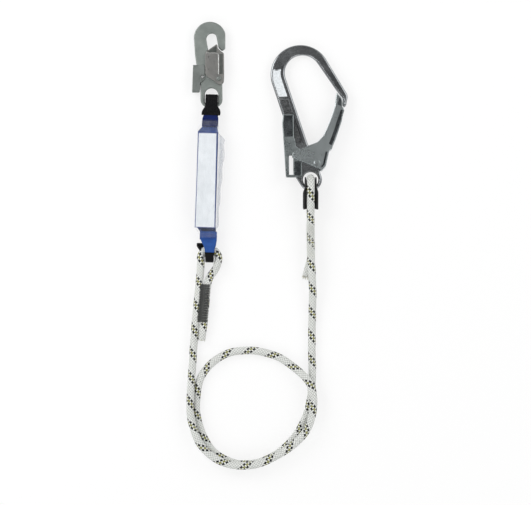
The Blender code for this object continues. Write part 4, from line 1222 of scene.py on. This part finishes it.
hook = {
    "name": "scaffold", "place": hookPlace, "slot": "chrome",
    "plate": 8.6, "edge": 2.5, "ringHole": 11.5, "ringBar": 5.5, "ringArc": (-145, 30),
    "bowlIn": ((-11.85, 161.2), 26.7), "bowlOut": ((-14.85, 158.2), 45.0), "spineLean": 18.4,
    "armLean": 34.5, "arm": 53.5, "crotch": 53.0, "heel": 48.0, "spineFoot": [(-26.0, 40.0), (-26.0, 9.0)],
    # steps from the nose
    "gateTip": [(-1.7, -1.5), (7.0, -11.5), (7.2, -23.6), (9.8, -26.0)],
    "lip": [(0, 0), (8, -10), (8.2, -21.8), (10.5, -23.4), (13, -20.5), (15.4, -8), (14.6, -3.5)],
    "gatePivot": (9.3, 24.0), "gateHub": (9.8, -62, 75), "leverPivot": (-18.5, 35.4),
    "sheet": 1.8, "run": 0.4, "bore": 3.3, "boreSides": 40, "forgedRoll": 0.3, "pressedRoll": 0.3,
    "rivet": 3.0, "head": 5.0, "headHeight": 0.45, "wire": 0.4, "leg": 22.0, "legStart": -110,
    "coil": 3.0, "coilAt": 64.0, "coilGap": 0.3, "coilRoom": 1.8, "rimOut": 2.9, "rimIn": 6.0,
    "flat": (166.5, 124.5), "flatBed": (1.2, 0.4, (0.108, 0.036)),  # top and foot, then depth, slope and tilt
    "cast": (121.0, 55.0), "castBed": (0.9, 0.9, (0.0, 0.0)), "castLook": (tone(2, 2, 2), tone(96, 98, 99)),
    "gateFront": [
        (37.2, 112.5), (32.0, 96.0), (24.9, 78.0), (19.0, 65.4), (10.2, 55.8), (-1.2, 51.3), (-14.9, 45.5),
    ],
    "gateFoot": ((-22.6, 36.4), 5.0, 115, 235, 12), "gateHeel": (12.5, 15.6),
    "gateBack": [
        (46.6, 87.0), (41.6, 72.0), (37.4, 60.0), (33.6, 51.0), (31.8, 45.4), (28.0, 43.0), (22.8, 20.1),
        (16.8, 13.2),
    ],
    "gateRecesses": [
        [
            (45.0, 104.6), (39.2, 87.5), (34.4, 73.0), (30.2, 61.5), (27.0, 53.2), (31.5, 50.4), (35.6, 60.5),
            (39.8, 72.0), (44.8, 87.0), (50.6, 103.6),
        ],
        [(39.8, 111.8), (47.9, 109.6), (47.7, 116.6), (43.0, 123.0)],
        [(22.3, 41.9), (18.0, 22.6), (15.0, 19.4), (17.0, 17.2), (20.8, 21.2), (25.4, 41.2)],
    ],
    # height on the spine, the lever's own height there and its distance from the spine
    "leverStand": [(84, 84, 4.9), (78, 78, 6.3), (64, 64, 10.0), (48, 42, 13.8)],
    "leverFoot": (-37.0, 4.0), "leverTop": (1.2, 98.0),
    "leverInner": [(-13, 4), (-13, 44), (-22.5, 50), (-23, 60), (-25.0, 62), (-25.4, 98.0)],
    "leverRecesses": [
        [(-39.6, 96.4), (-40.7, 84.0), (-39.2, 64.0), (-26.5, 64.0), (-26.8, 96.4)],
        [(-24.2, 27.0), (-24.2, 5.6), (-14.6, 5.6), (-14.6, 27.0)],
    ],
    "recess": 0.45, "recessSlope": 0.25,
    "leverWindows": [[(-32.2, 6.8), (-25.6, 6.8), (-25.6, 37.0), (-32.2, 37.0)]], "windowRoll": 0.5,
}


def bowlArc(outer, away=0.0):
    # middle and radius of the bowl's outer or inner edge, or of a line a little way in from it
    middle, radius = hook["bowlOut" if outer else "bowlIn"]
    return np.array(middle), radius - away if outer else radius + away


def spineX(height, outer=True, away=0.0):
    middle, radius = bowlArc(outer, away)
    x, y = middle + radius * unitAt(180 + hook["spineLean"])
    return x + (y - height) * math.tan(math.radians(hook["spineLean"]))


def bowlSide(outer, away, top, foot):
    # points down one edge of the bowl and spine
    (x, y), radius = bowlArc(outer, away)
    tangent = y + radius * math.sin(math.radians(180 + hook["spineLean"]))
    points = []
    for height in np.linspace(top, foot, 40):
        if height > tangent:
            points.append((x - math.sqrt(max(radius**2 - (height - y) ** 2, 0.0)), height))
        else:
            points.append((spineX(height, outer, away), height))
    return points


def bowlPocket(top, foot):
    left = bowlSide(True, hook["rimOut"], top, foot)
    right = bowlSide(False, hook["rimIn"], top, foot)
    return softLoop(left + right[::-1], 0.8, 3)


def makeScaffoldHook():
    spine, arm, crotch, heel = 180 + hook["spineLean"], hook["armLean"], hook["crotch"], hook["heel"]
    (inner, innerR), (outer, outerR) = bowlArc(False), bowlArc(True)
    nose = inner + innerR * unitAt(arm) + hook["arm"] * unitAt(arm - 90)
    lip, tip = ([tuple(nose + np.array(step)) for step in hook[part]] for part in ("lip", "gateTip"))
    outline = arcPoints((0, 0), hook["ringHole"] + hook["ringBar"], *hook["ringArc"])
    outline += arcPoints(hook["gatePivot"], *hook["gateHub"]) + [(spineX(crotch, False), crotch)]
    outline += arcPoints(inner, innerR, spine, arm) + lip
    outline += arcPoints(outer, outerR, arm, spine) + [(spineX(heel), heel)] + hook["spineFoot"]
    pockets = [  # a flat cut that catches the light, and a rough strip below it
        (bowlPocket(*hook["flat"]), *hook["flatBed"], 0), (bowlPocket(*hook["cast"]), *hook["castBed"], 1),
    ]
    looks = [metals["darkChrome"], castLook("roughCasting", *hook["castLook"])]
    makeForging(hook, looks, outline, circlePoints((0, 0), hook["ringHole"], 90), pockets, 5, 30)

    bright, sheet = metals["brightChromeSheet"], metals["darkChromeSheet"]
    # the gate's and lever's recesses take the darker chrome: painted shade and dark reflection
    recess = metals["chromePaintedShade"]
    web = tip[1:] + hook["gateBack"]
    outline = tip[:1] + hook["gateFront"] + arcPoints(*hook["gateFoot"]) + [hook["gateHeel"]] + web[::-1]
    makePressing(hook, "gate", [bright, recess], outline, web)
    web = [(spineX(a) - away, b) for a, b, away in hook["leverStand"]] + [hook["leverFoot"]]
    step, top = hook["leverTop"]
    outline = [(web[0][0] + step, top)] + web + hook["leverInner"]
    makePressing(hook, "lever", [sheet, recess], outline, web)
    makePins(hook, bright, sheet)

    at, out = hook["coilAt"], unitAt(spine)
    stand = hook["leverStand"][2][2] * math.cos(math.radians(hook["spineLean"]))
    stop = np.array((spineX(at), at)) + hook["coilGap"] * out
    seat = stop + (stand - hook["sheet"] - hook["coilRoom"]) * out
    makeSprings(hook, seat, stop)


makeScaffoldHook()
print("scaffold hook made")


# energy absorber: straps, sleeves, bar tacks and folded webbing

absorber = {
    "webbing": 2.2, "plyOffset": 2.6, "tongueZ": 10.0, "tongue": 12.5, "ramp": 8.0, "rise": 15.0, "gap": 0.3,
    "shift": -7.6, "lowerShift": 5.0, "upperShift": 2.2, "packWidth": 30.0, "tailWidth": 25.0,
    "start": 36.1, "end": 176.1, "layers": 9, "layerPitch": 2.5, "layerZ": 1.9, "close": 197.2,
    "lowerTrim": 1.0, "packTrim": 0.2, "upperTrim": 2.0,  # the folded webbing is this much narrower
    "snapX": -3.9, "snapY": 216.5, "snapZ": 8.1, "upperHalf": 5.8, "upperBend": 9.6, "upperTurn": 8.0,
    "lowerHalf": 9.25, "lowerBend": 7.8, "lowerZ": 11.25, "lowerTurn": 10.0,
    # widths where the straps are pinched, with what they gain towards their tails
    "narrow": 15.0, "narrowFlare": 1.6, "upperSkew": 0.5, "upperTaper": 1.0,
    "pinch": 10.0, "pinchBend": 1.5, "pinchFlare": 7.0, "lowerSkew": 0.4, "lowerTaper": 0.5,
    # each sleeve's middle and width along the strap; the lower one's widths are added to the pinch
    "sleeveWall": 0.6, "sleeveRoom": 0.6,
    "lowerSleeve": [(0.0, 3.4)] + [(0.0, 1.4)] * 8 + [(-2.8, 5.0), (-9.2, 11.0), (-10.0, 9.0)],
    "upperFlare": [(-4.4, 26.6), (-4.1, 27.4), (-3.8, 26.0), (-3.5, 22.4)], "upperHem": (-4.4, 21.0),
    "upperEase": 2.4, "upperHemEase": 3.0, "flareAt": (4.4, 1.6),
    # spacing along, easing, points across and rounding of the edges of each band's mesh
    "strapGrid": (0.8, 6, 21, 0.12), "packGrid": (0.8, 1, 15, 0.1),
    "lowerSleeveGrid": (0.7, 4, 19, 0.25), "upperSleeveGrid": (0.7, 4, 37, 0.25),
    "tack": (22.0, 8.0), "tackRows": 5, "tackStitches": 22,
    "tackThread": 0.36, "tackSides": 6, "tackSwing": 0.62, "tackLift": 0.42, "tackDip": 0.12,
    "blue": (tone(16, 44, 108), tone(38, 92, 172)), "navy": (tone(1, 8, 40), tone(4, 30, 100)),
    "deepBlue": (tone(6, 26, 72), tone(18, 66, 140)), "black": (tone(2, 2, 3), tone(20, 20, 22)),
}


def webbingLook(name, colours, rib, cross, depth=0.25, sheen=0.1, specular=0.3, rough=0.65, folds=0.0):
    # ribs run along the webbing, and the weft shows between them; loose cloth has folds too
    startMaterial(name)
    along, across = runPlace()
    column, row = calc("DIVIDE", across, rib), calc("DIVIDE", along, cross)
    turn = oddEven(calc("FLOOR", column), calc("FLOOR", row))
    height = pick(turn, dome(row), dome(column))
    # the colour is darker where the yarns dip under each other: painted shade, with random speckle
    shadeAndMottle = weighted(height, 0.5, speckle(120, 4.0, 0.6), 0.5)
    relief = weighted(height, depth, speckle(110, 2.0, 0.5), folds)
    return finishMaterial({
        "Base Color": ramp(shadeAndMottle, [(0.25, colours[0]), (0.75, colours[1])]), "Roughness": rough,
        "Sheen Weight": sheen, "Specular IOR Level": specular, "Normal": bumped(relief, 1.0, 0.8),
    })


def strapLine(lowY, bendY, half, middleZ, turnY, closeY):
    # (y, z) round a loop of strap: the upper ply, nine points of the bend, the lower ply
    way = 1 if bendY > turnY else -1
    top, under = absorber["tongueZ"] + absorber["plyOffset"], absorber["tongueZ"] - absorber["plyOffset"]
    bend = arcPoints((bendY, middleZ), half, 90, 90 - 180 * way, 180 / 8)
    line = [(lowY, top), (closeY, top), (turnY, middleZ + half)] + bend
    return line + [(turnY, middleZ - half), (closeY, under), (lowY, under)]


def bandRings(line, widths, thick, grid, crease=None):
    # rings of a band along (y, z) points; widths gives (middle, width) at each of them
    spacing, passes, columns, corner = grid
    table = np.column_stack((np.array(line, float), np.array(widths, float)))
    runs = runsOf(table[:, :2])
    marks = np.linspace(0, runs[-1], round(runs[-1] / spacing) + 1)
    table = eased(atMarks(table, runs, marks), passes)
    y, z, middle, width = (column[:, None] for column in table.T)
    awayY, awayZ = (column[:, None] for column in -leftOf(headings(table[:, :2])).T)
    across = np.linspace(-1, 1, columns)
    pull = np.clip((np.abs(across) - (1 - corner)) / corner, 0, 1)
    under = -thick / 2 * np.sqrt(np.clip(1 - 0.85 * pull**4, 0, 1))  # thinner at the edges
    section = np.concatenate((across, across[::-1]))
    out = np.tile(np.concatenate((under, -under[::-1])), (len(table), 1))
    sideways = middle + width / 2 * section
    if crease is not None:
        out = out + crease(marks[:, None], sideways, out < 0)
    rings = np.stack((sideways, y + out * awayY, z + out * awayZ), axis=2)
    runV = np.append(section, across[:1]) * float(np.mean(width)) / 2 + 50.0  # kept above zero
    return rings, marks, runV


def makeBand(name, standsFor, slotName, look, line, widths, thick, grid, crease=None, wall=0.0):
    # webbing along (y, z) points; with a wall it is a hollow sleeve
    outside = [(middle, width + 2 * wall) for middle, width in widths]
    rings, marks, runV = bandRings(line, outside, thick + 2 * wall, grid, crease)
    if wall:
        inner = bandRings(line, widths, thick, grid)[0]
        rings, marks = np.concatenate((rings, inner[::-1])), np.concatenate((marks, marks[::-1]))
    shell = emptyShell()
    addGrid(shell, rings, marks, runV, looped=wall > 0)
    makePiece(name, shell, look, "absorber", slotName, absorberPlace, standsFor, smooth=60)


def makeStrap(end, look, line, widths, crease=None):
    name, standsFor = f"{end}_strap_band", f"{end}_strap_loop"
    thick, grid = absorber["webbing"], absorber["strapGrid"]
    makeBand(name, standsFor, "webbing", look, line, widths, thick, grid, crease)


def makeSleeve(end, look, line, widths, crease):
    name, standsFor = f"{end}_sleeve_weave", f"{end}_wear_sleeve"
    room, grid = absorber["webbing"] + absorber["sleeveRoom"], absorber[end + "SleeveGrid"]
    makeBand(name, standsFor, "wear_sleeve", look, line, widths, room, grid, crease, absorber["sleeveWall"])


def makeLowerStrap(look, sleeveLook):
    a, pinch, width = absorber, absorber["pinch"], absorber["tailWidth"]
    turnY = a["rise"] - a["lowerTurn"]
    line = strapLine(a["rise"] + a["tongue"], -a["lowerBend"], a["lowerHalf"], a["lowerZ"], turnY, a["rise"])
    tail = a["shift"] + a["lowerShift"]
    ends = [(tail, width), (tail + a["lowerSkew"], width - a["lowerTaper"]), (0.0, pinch + a["pinchFlare"])]
    widths = ends + [(0.0, pinch + a["pinchBend"] * abs(k - 4) / 4) for k in range(9)] + ends[::-1]

    def pleats(run, x, outer):
        # fine folds across the strap where it narrows
        return 0.22 * np.sin(x * 1.1 + 0.03 * run) * outer * np.exp(-(((run - 25) / 14) ** 2))

    def crumple(run, x, outer):
        return (0.45 + 0.45 * ripple(run, x * 1.6, 3, 9.0)) * outer

    makeStrap("lower", look, line, widths, pleats)
    line = [between(line[2], line[3], 0.7), *line[3:13], between(line[12], line[13], 0.4)]
    widths = [(middle, pinch + more) for middle, more in a["lowerSleeve"]]
    makeSleeve("lower", sleeveLook, line, widths, crumple)


def makeUpperStrap(look, sleeveLook):
    a, narrow, x = absorber, absorber["narrow"], absorber["snapX"]
    bendY, turnY, high = a["snapY"] + a["upperBend"], a["snapY"] - a["upperTurn"], a["snapZ"] + a["upperHalf"]
    line = strapLine(a["close"] - a["tongue"], bendY, a["upperHalf"], a["snapZ"], turnY, a["close"])
    tail, width = a["shift"] + a["upperShift"], a["tailWidth"] - a["upperTaper"]
    ends = [(tail, width), (tail + a["upperSkew"], width), (x, narrow + a["narrowFlare"])]

    def crumple(run, x, outer):
        # strongest at the sleeve's open end
        return (1.2 + 1.3 * ripple(run * 0.6, x * 1.4, 8, 8.0)) * outer * np.clip(1.7 - run / 13, 0.2, 1)

    makeStrap("upper", look, line, ends + [(x, narrow)] * 9 + ends[::-1])
    flare = [between(line[1], line[2], share) for share in (0.4, 0.7)] + [line[2]]
    flare += [(a["snapY"] - below, high) for below in a["flareAt"]]
    line = flare + line[3:13] + [between(line[13], line[12], 0.4)]
    widths = a["upperFlare"] + [(x, narrow + a["upperEase"])] * 10
    widths += [(x, narrow + a["upperHemEase"]), a["upperHem"]]
    makeSleeve("upper", sleeveLook, line, widths, crumple)


def makeTack(end, look, y):
    # zigzag rows of thread across the strap's end
    a = absorber
    (width, length), rows, stitches = a["tack"], a["tackRows"], a["tackStitches"]
    x = a["shift"] + a[end + "Shift"]
    top = a["tongueZ"] + a["plyOffset"] + a["webbing"] / 2
    shell = emptyShell()
    for row in range(rows):
        points = []
        for place in (k / (stitches * 4) for k in range(stitches * 4 + 1)):
            swing = (2 * abs(2 * ((place * stitches) % 1) - 1) - 1) * a["tackSwing"]
            z = top + a["tackLift"] + a["tackDip"] * math.sin(place * stitches * 4 * math.pi)
            points.append((x + (place - 0.5) * width, y + (row - rows // 2) * length / rows + swing, z))
        addTube(shell, points, a["tackThread"], a["tackSides"])
    makePiece(f"{end}_tack_thread", shell, look, "absorber", "thread", absorberPlace, f"{end}_bar_tack")


def makePack(look):
    # one long webbing, folded back and forth between its two tails
    a, shift, width = absorber, absorber["shift"], absorber["tailWidth"]
    top = a["layerZ"] + (a["layers"] - 1) * a["layerPitch"]
    tongue = a["rise"] + a["gap"]
    line = [(tongue, a["tongueZ"]), (tongue + a["tongue"], a["tongueZ"]), (a["start"], a["layerZ"])]
    for layer in range(a["layers"] - 1):
        z = a["layerZ"] + (layer + 0.5) * a["layerPitch"]
        turnY, way = (a["end"], 1) if layer % 2 == 0 else (a["start"], -1)
        line += arcPoints((turnY, z), a["layerPitch"] / 2, -90, -90 + 180 * way, 30)
    line += [(a["end"], top), (a["end"] + a["ramp"], a["tongueZ"]), (a["close"] - a["gap"], a["tongueZ"])]
    widths = [(shift + a["lowerShift"] - a["lowerTrim"], width - a["lowerTrim"])] * 2
    widths += [(shift, a["packWidth"] - a["packTrim"])] * (len(line) - 4)
    widths += [(shift + a["upperShift"], width - a["upperTrim"])] * 2
    thick, grid = a["webbing"], a["packGrid"]
    makeBand("folded_webbing", "tear_webbing_pack", "tear_webbing", look, line, widths, thick, grid)
    return top


# label, left bare

label = {
    "width": 28.2, "length": 142.0, "thick": 0.4, "shift": -0.3, "spread": 2.2, "drop": 2.3, "edge": 1.1,
    "bed": 0.35, "stand": 0.6, "sink": 0.02, "grid": (160, 34),
    "wave": 0.09, "waveSeed": 21, "waveLength": 34.0,
    "paper": (tone(215, 220, 224), tone(230, 234, 238)), "line": tone(78, 90, 140),
}


def labelLook(name):
    # paper with a coloured line round its edge
    startMaterial(name)
    along, across = runPlace()
    sides = [
        calc("MINIMUM", place, calc("SUBTRACT", size, place))
        for place, size in ((across, label["width"]), (along, label["length"]))
    ]
    line = calc("LESS_THAN", calc("MINIMUM", *sides), label["edge"])
    cloudy = speckle(45, 3.0, 0.6)
    paper = ramp(cloudy, [(0.3, label["paper"][0]), (0.7, label["paper"][1])])
    return finishMaterial({
        "Base Color": pickColour(line, paper, label["line"]),
        "Roughness": fromTo(cloudy, 0.3, 0.7, 0.4, 0.6),
        "Normal": bumped(speckle(160, 3.0, 0.5), 0.08, 0.6),
    })


def makeLabel(top):
    a, width, length = absorber, label["width"], label["length"]
    base = top + a["webbing"] / 2 + label["bed"]
    along, across = (np.linspace(0, size, count) for size, count in zip((length, width), label["grid"]))
    s, x = np.meshgrid(along, across, indexing="ij")
    wave = label["wave"] * ripple(s, x * 1.4, label["waveSeed"], label["waveLength"])
    y = (a["start"] + a["end"]) / 2 - label["drop"] - length / 2 + s
    place = a["shift"] + label["shift"] + (x - width / 2) * (1 + label["spread"] / width * (1 - s / length))
    upper = np.stack((place, y, base + label["thick"] * label["stand"] + wave), axis=2)
    lower = np.stack((place, y, base + wave * 0.5 - label["sink"]), axis=2)
    shell = emptyShell()
    rings = np.concatenate((upper, lower[:, ::-1]), axis=1)
    addGrid(shell, rings, along, np.concatenate((across, across[::-1], across[:1])))
    look = labelLook("plainLabel")
    makePiece("label_plain", shell, look, "absorber", "label", absorberPlace, "label", smooth=60)


# clear film round the pack

film = {
    "wall": 0.22, "slack": 0.5, "corner": 1.0, "overhang": 17.0, "rings": 150, "spacing": 1.1, "floor": 0.02,
    "wave": 0.16, "waveSeed": 31, "waveLength": 17.0, "sideWave": 0.6,
    "haze": (0.01, 0.05), "endHaze": 0.03, "finHaze": 0.2,
    # the gathered ends
    "close": 15.0, "narrow": 0.17, "lowShift": 4.6, "farShift": 2.2, "endZ": 10.0, "endFlat": 0.42,
    # the fin of doubled film at one side
    "fin": 10.5, "finEdge": (0.42, 0.5), "finTop": 175.0, "finFoot": 28.0, "finRise": 9.0,
    "finSlim": 0.42, "finFill": (60.0, 90.0), "finSway": (0.9, 0.19), "finRoll": (1.8, 0.11, 0.037),
    # tint across the fin, greyer a little way out: painted shade of the doubled film
    "tint": [(0.02, tone(238, 242, 245)), (0.3, tone(212, 219, 230)), (1.0, tone(232, 236, 240))],
}


def filmLook(name, low, far):
    # clear over the label, hazier where it is gathered at the ends and doubled in the fin
    startMaterial(name)
    along, fin = runPlace()
    crinkle = speckle(70, 4.0, 0.6, (1.6, 0.5, 1.0))
    streak = fromTo(calc("ABSOLUTE", calc("SUBTRACT", crinkle, 0.5)), 0.0, 0.2, 1.0, 0.55)
    reach = film["overhang"] + 1.0
    nearEnd = fromTo(along, low, low + reach, 1.0, 0.0)
    gathered = calc("MAXIMUM", nearEnd, fromTo(along, far - reach, far, 0.0, 1.0))
    gathered = fromTo(gathered, 0.0, 0.25, 0.0, film["endHaze"])
    doubled = fromTo(fin, 0.02, 0.3, 0.0, film["finHaze"])
    haze = calc("MULTIPLY", calc("MAXIMUM", gathered, doubled), streak)
    thin = fromTo(crinkle, 0.35, 0.65, *film["haze"])
    return finishMaterial({
        "Base Color": ramp(fin, film["tint"]), "Alpha": calc("MAXIMUM", haze, thin),
        "Roughness": 0.2, "IOR": 1.45, "Specular IOR Level": 0.22, "Normal": bumped(crinkle, 0.5, 0.6),
    })


def makeFilm(top):
    a, fin, corner = absorber, film["fin"], film["corner"]
    side = a["packWidth"] / 2 + a["gap"] + film["slack"]
    roof = top + a["webbing"] / 2 + a["gap"] + label["thick"] + a["gap"] + film["slack"]
    inX, high = side - corner, roof - corner
    loop = arcPoints((inX, high), corner, 45, 90, 15) + arcPoints((-inX, high), corner, 90, 180, 15)
    loop += arcPoints((-inX, corner), corner, 180, 270, 15) + arcPoints((inX, corner), corner, -90, -45, 15)
    loop = spread(loop + [(side + fin, roof * edge) for edge in film["finEdge"]], film["spacing"], True)
    finShare = np.clip((loop[:, 0] - side) / fin, 0, 1)
    low, far = a["start"] - film["overhang"], a["end"] + film["overhang"]
    (fillFrom, fillOver), slim = film["finFill"], film["finSlim"]
    (sway, swayRate), (roll, rollRate, slowRate) = film["finSway"], film["finRoll"]

    def filmRing(base, wall, y):
        baseX, baseZ = base.T
        close = easeStep(max(0.0, 1 - min(y - low, far - y) / film["close"]))
        stand = np.clip((film["finTop"] - y) / film["finRise"], 0, 1)
        stand = stand * np.clip((y - film["finFoot"]) / film["finRise"], 0, 1)
        stand = stand * (slim + (1 - slim) * np.clip((y - fillFrom) / fillOver, 0, 1))
        flat = np.where(baseX > side, side + (baseX - side) * stand, baseX)
        aside = film["lowShift"] if y < (low + far) / 2 else film["farShift"]
        x = a["shift"] + aside * close + flat * (1 - film["narrow"] * close)
        x = x + finShare * stand * sway * (np.sin(y * swayRate) - 1)
        z = baseZ * (1 - close) + (film["endZ"] + (baseZ - roof / 2) * film["endFlat"]) * close
        z = z + finShare * stand * roll * np.sin(y * rollRate + 0.6 * np.sin(y * slowRate))
        along = np.full(len(x), y)
        wave = film["wave"] * ripple(along, baseX * 1.3 + baseZ * 1.7, film["waveSeed"], film["waveLength"])
        z = np.maximum(z + wave * (baseZ > roof / 2), film["floor"] + wall)
        return np.column_stack((x + wave * np.sign(baseX) * film["sideWave"], along, z))

    runs = np.linspace(low, far, film["rings"])
    outer, inner = (
        np.array([filmRing(insetLoop(loop, wall), wall, y) for y in runs]) for wall in (0.0, film["wall"])
    )
    shell = emptyShell()
    marks = np.concatenate((runs, runs[::-1]))
    rings = np.concatenate((outer, inner[::-1]))
    addGrid(shell, rings, marks, np.append(finShare, finShare[:1]), looped=True)
    look = filmLook("clearFilm", low, far)
    makePiece("film_sleeve", shell, look, "absorber", "film", absorberPlace, "clear_sleeve", smooth=60)


blueWebbing = webbingLook("blueWebbing", absorber["blue"], 1.3, 0.9)
navyWebbing = webbingLook("navyWebbing", absorber["navy"], 1.3, 0.9, sheen=0.03, specular=0.2)
foldedWebbing = webbingLook("foldedBlueWebbing", absorber["deepBlue"], 1.3, 0.9)
blackWeave = webbingLook("blackSleeveWeave", absorber["black"], 0.9, 0.9, 0.18, 0.0, 0.1, 0.42, folds=4.0)
blueThread = threadLook("blueThread", tone(20, 44, 110), tone(60, 104, 190))
navyThread = threadLook("navyThread", tone(5, 12, 48), tone(18, 38, 104))
makeLowerStrap(blueWebbing, blackWeave)
makeUpperStrap(navyWebbing, blackWeave)
makeTack("lower", blueThread, absorber["rise"] + absorber["tongue"] / 2)
makeTack("upper", navyThread, absorber["close"] - absorber["tongue"] / 2)
packTop = makePack(foldedWebbing)
makeLabel(packTop)
makeFilm(packTop)
print("absorber made")

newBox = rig.bounds()
with open("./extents.json", "w") as sizeFile:
    json.dump({"cad": [list(v) for v in cadBox], "visual": [list(v) for v in newBox]}, sizeFile)
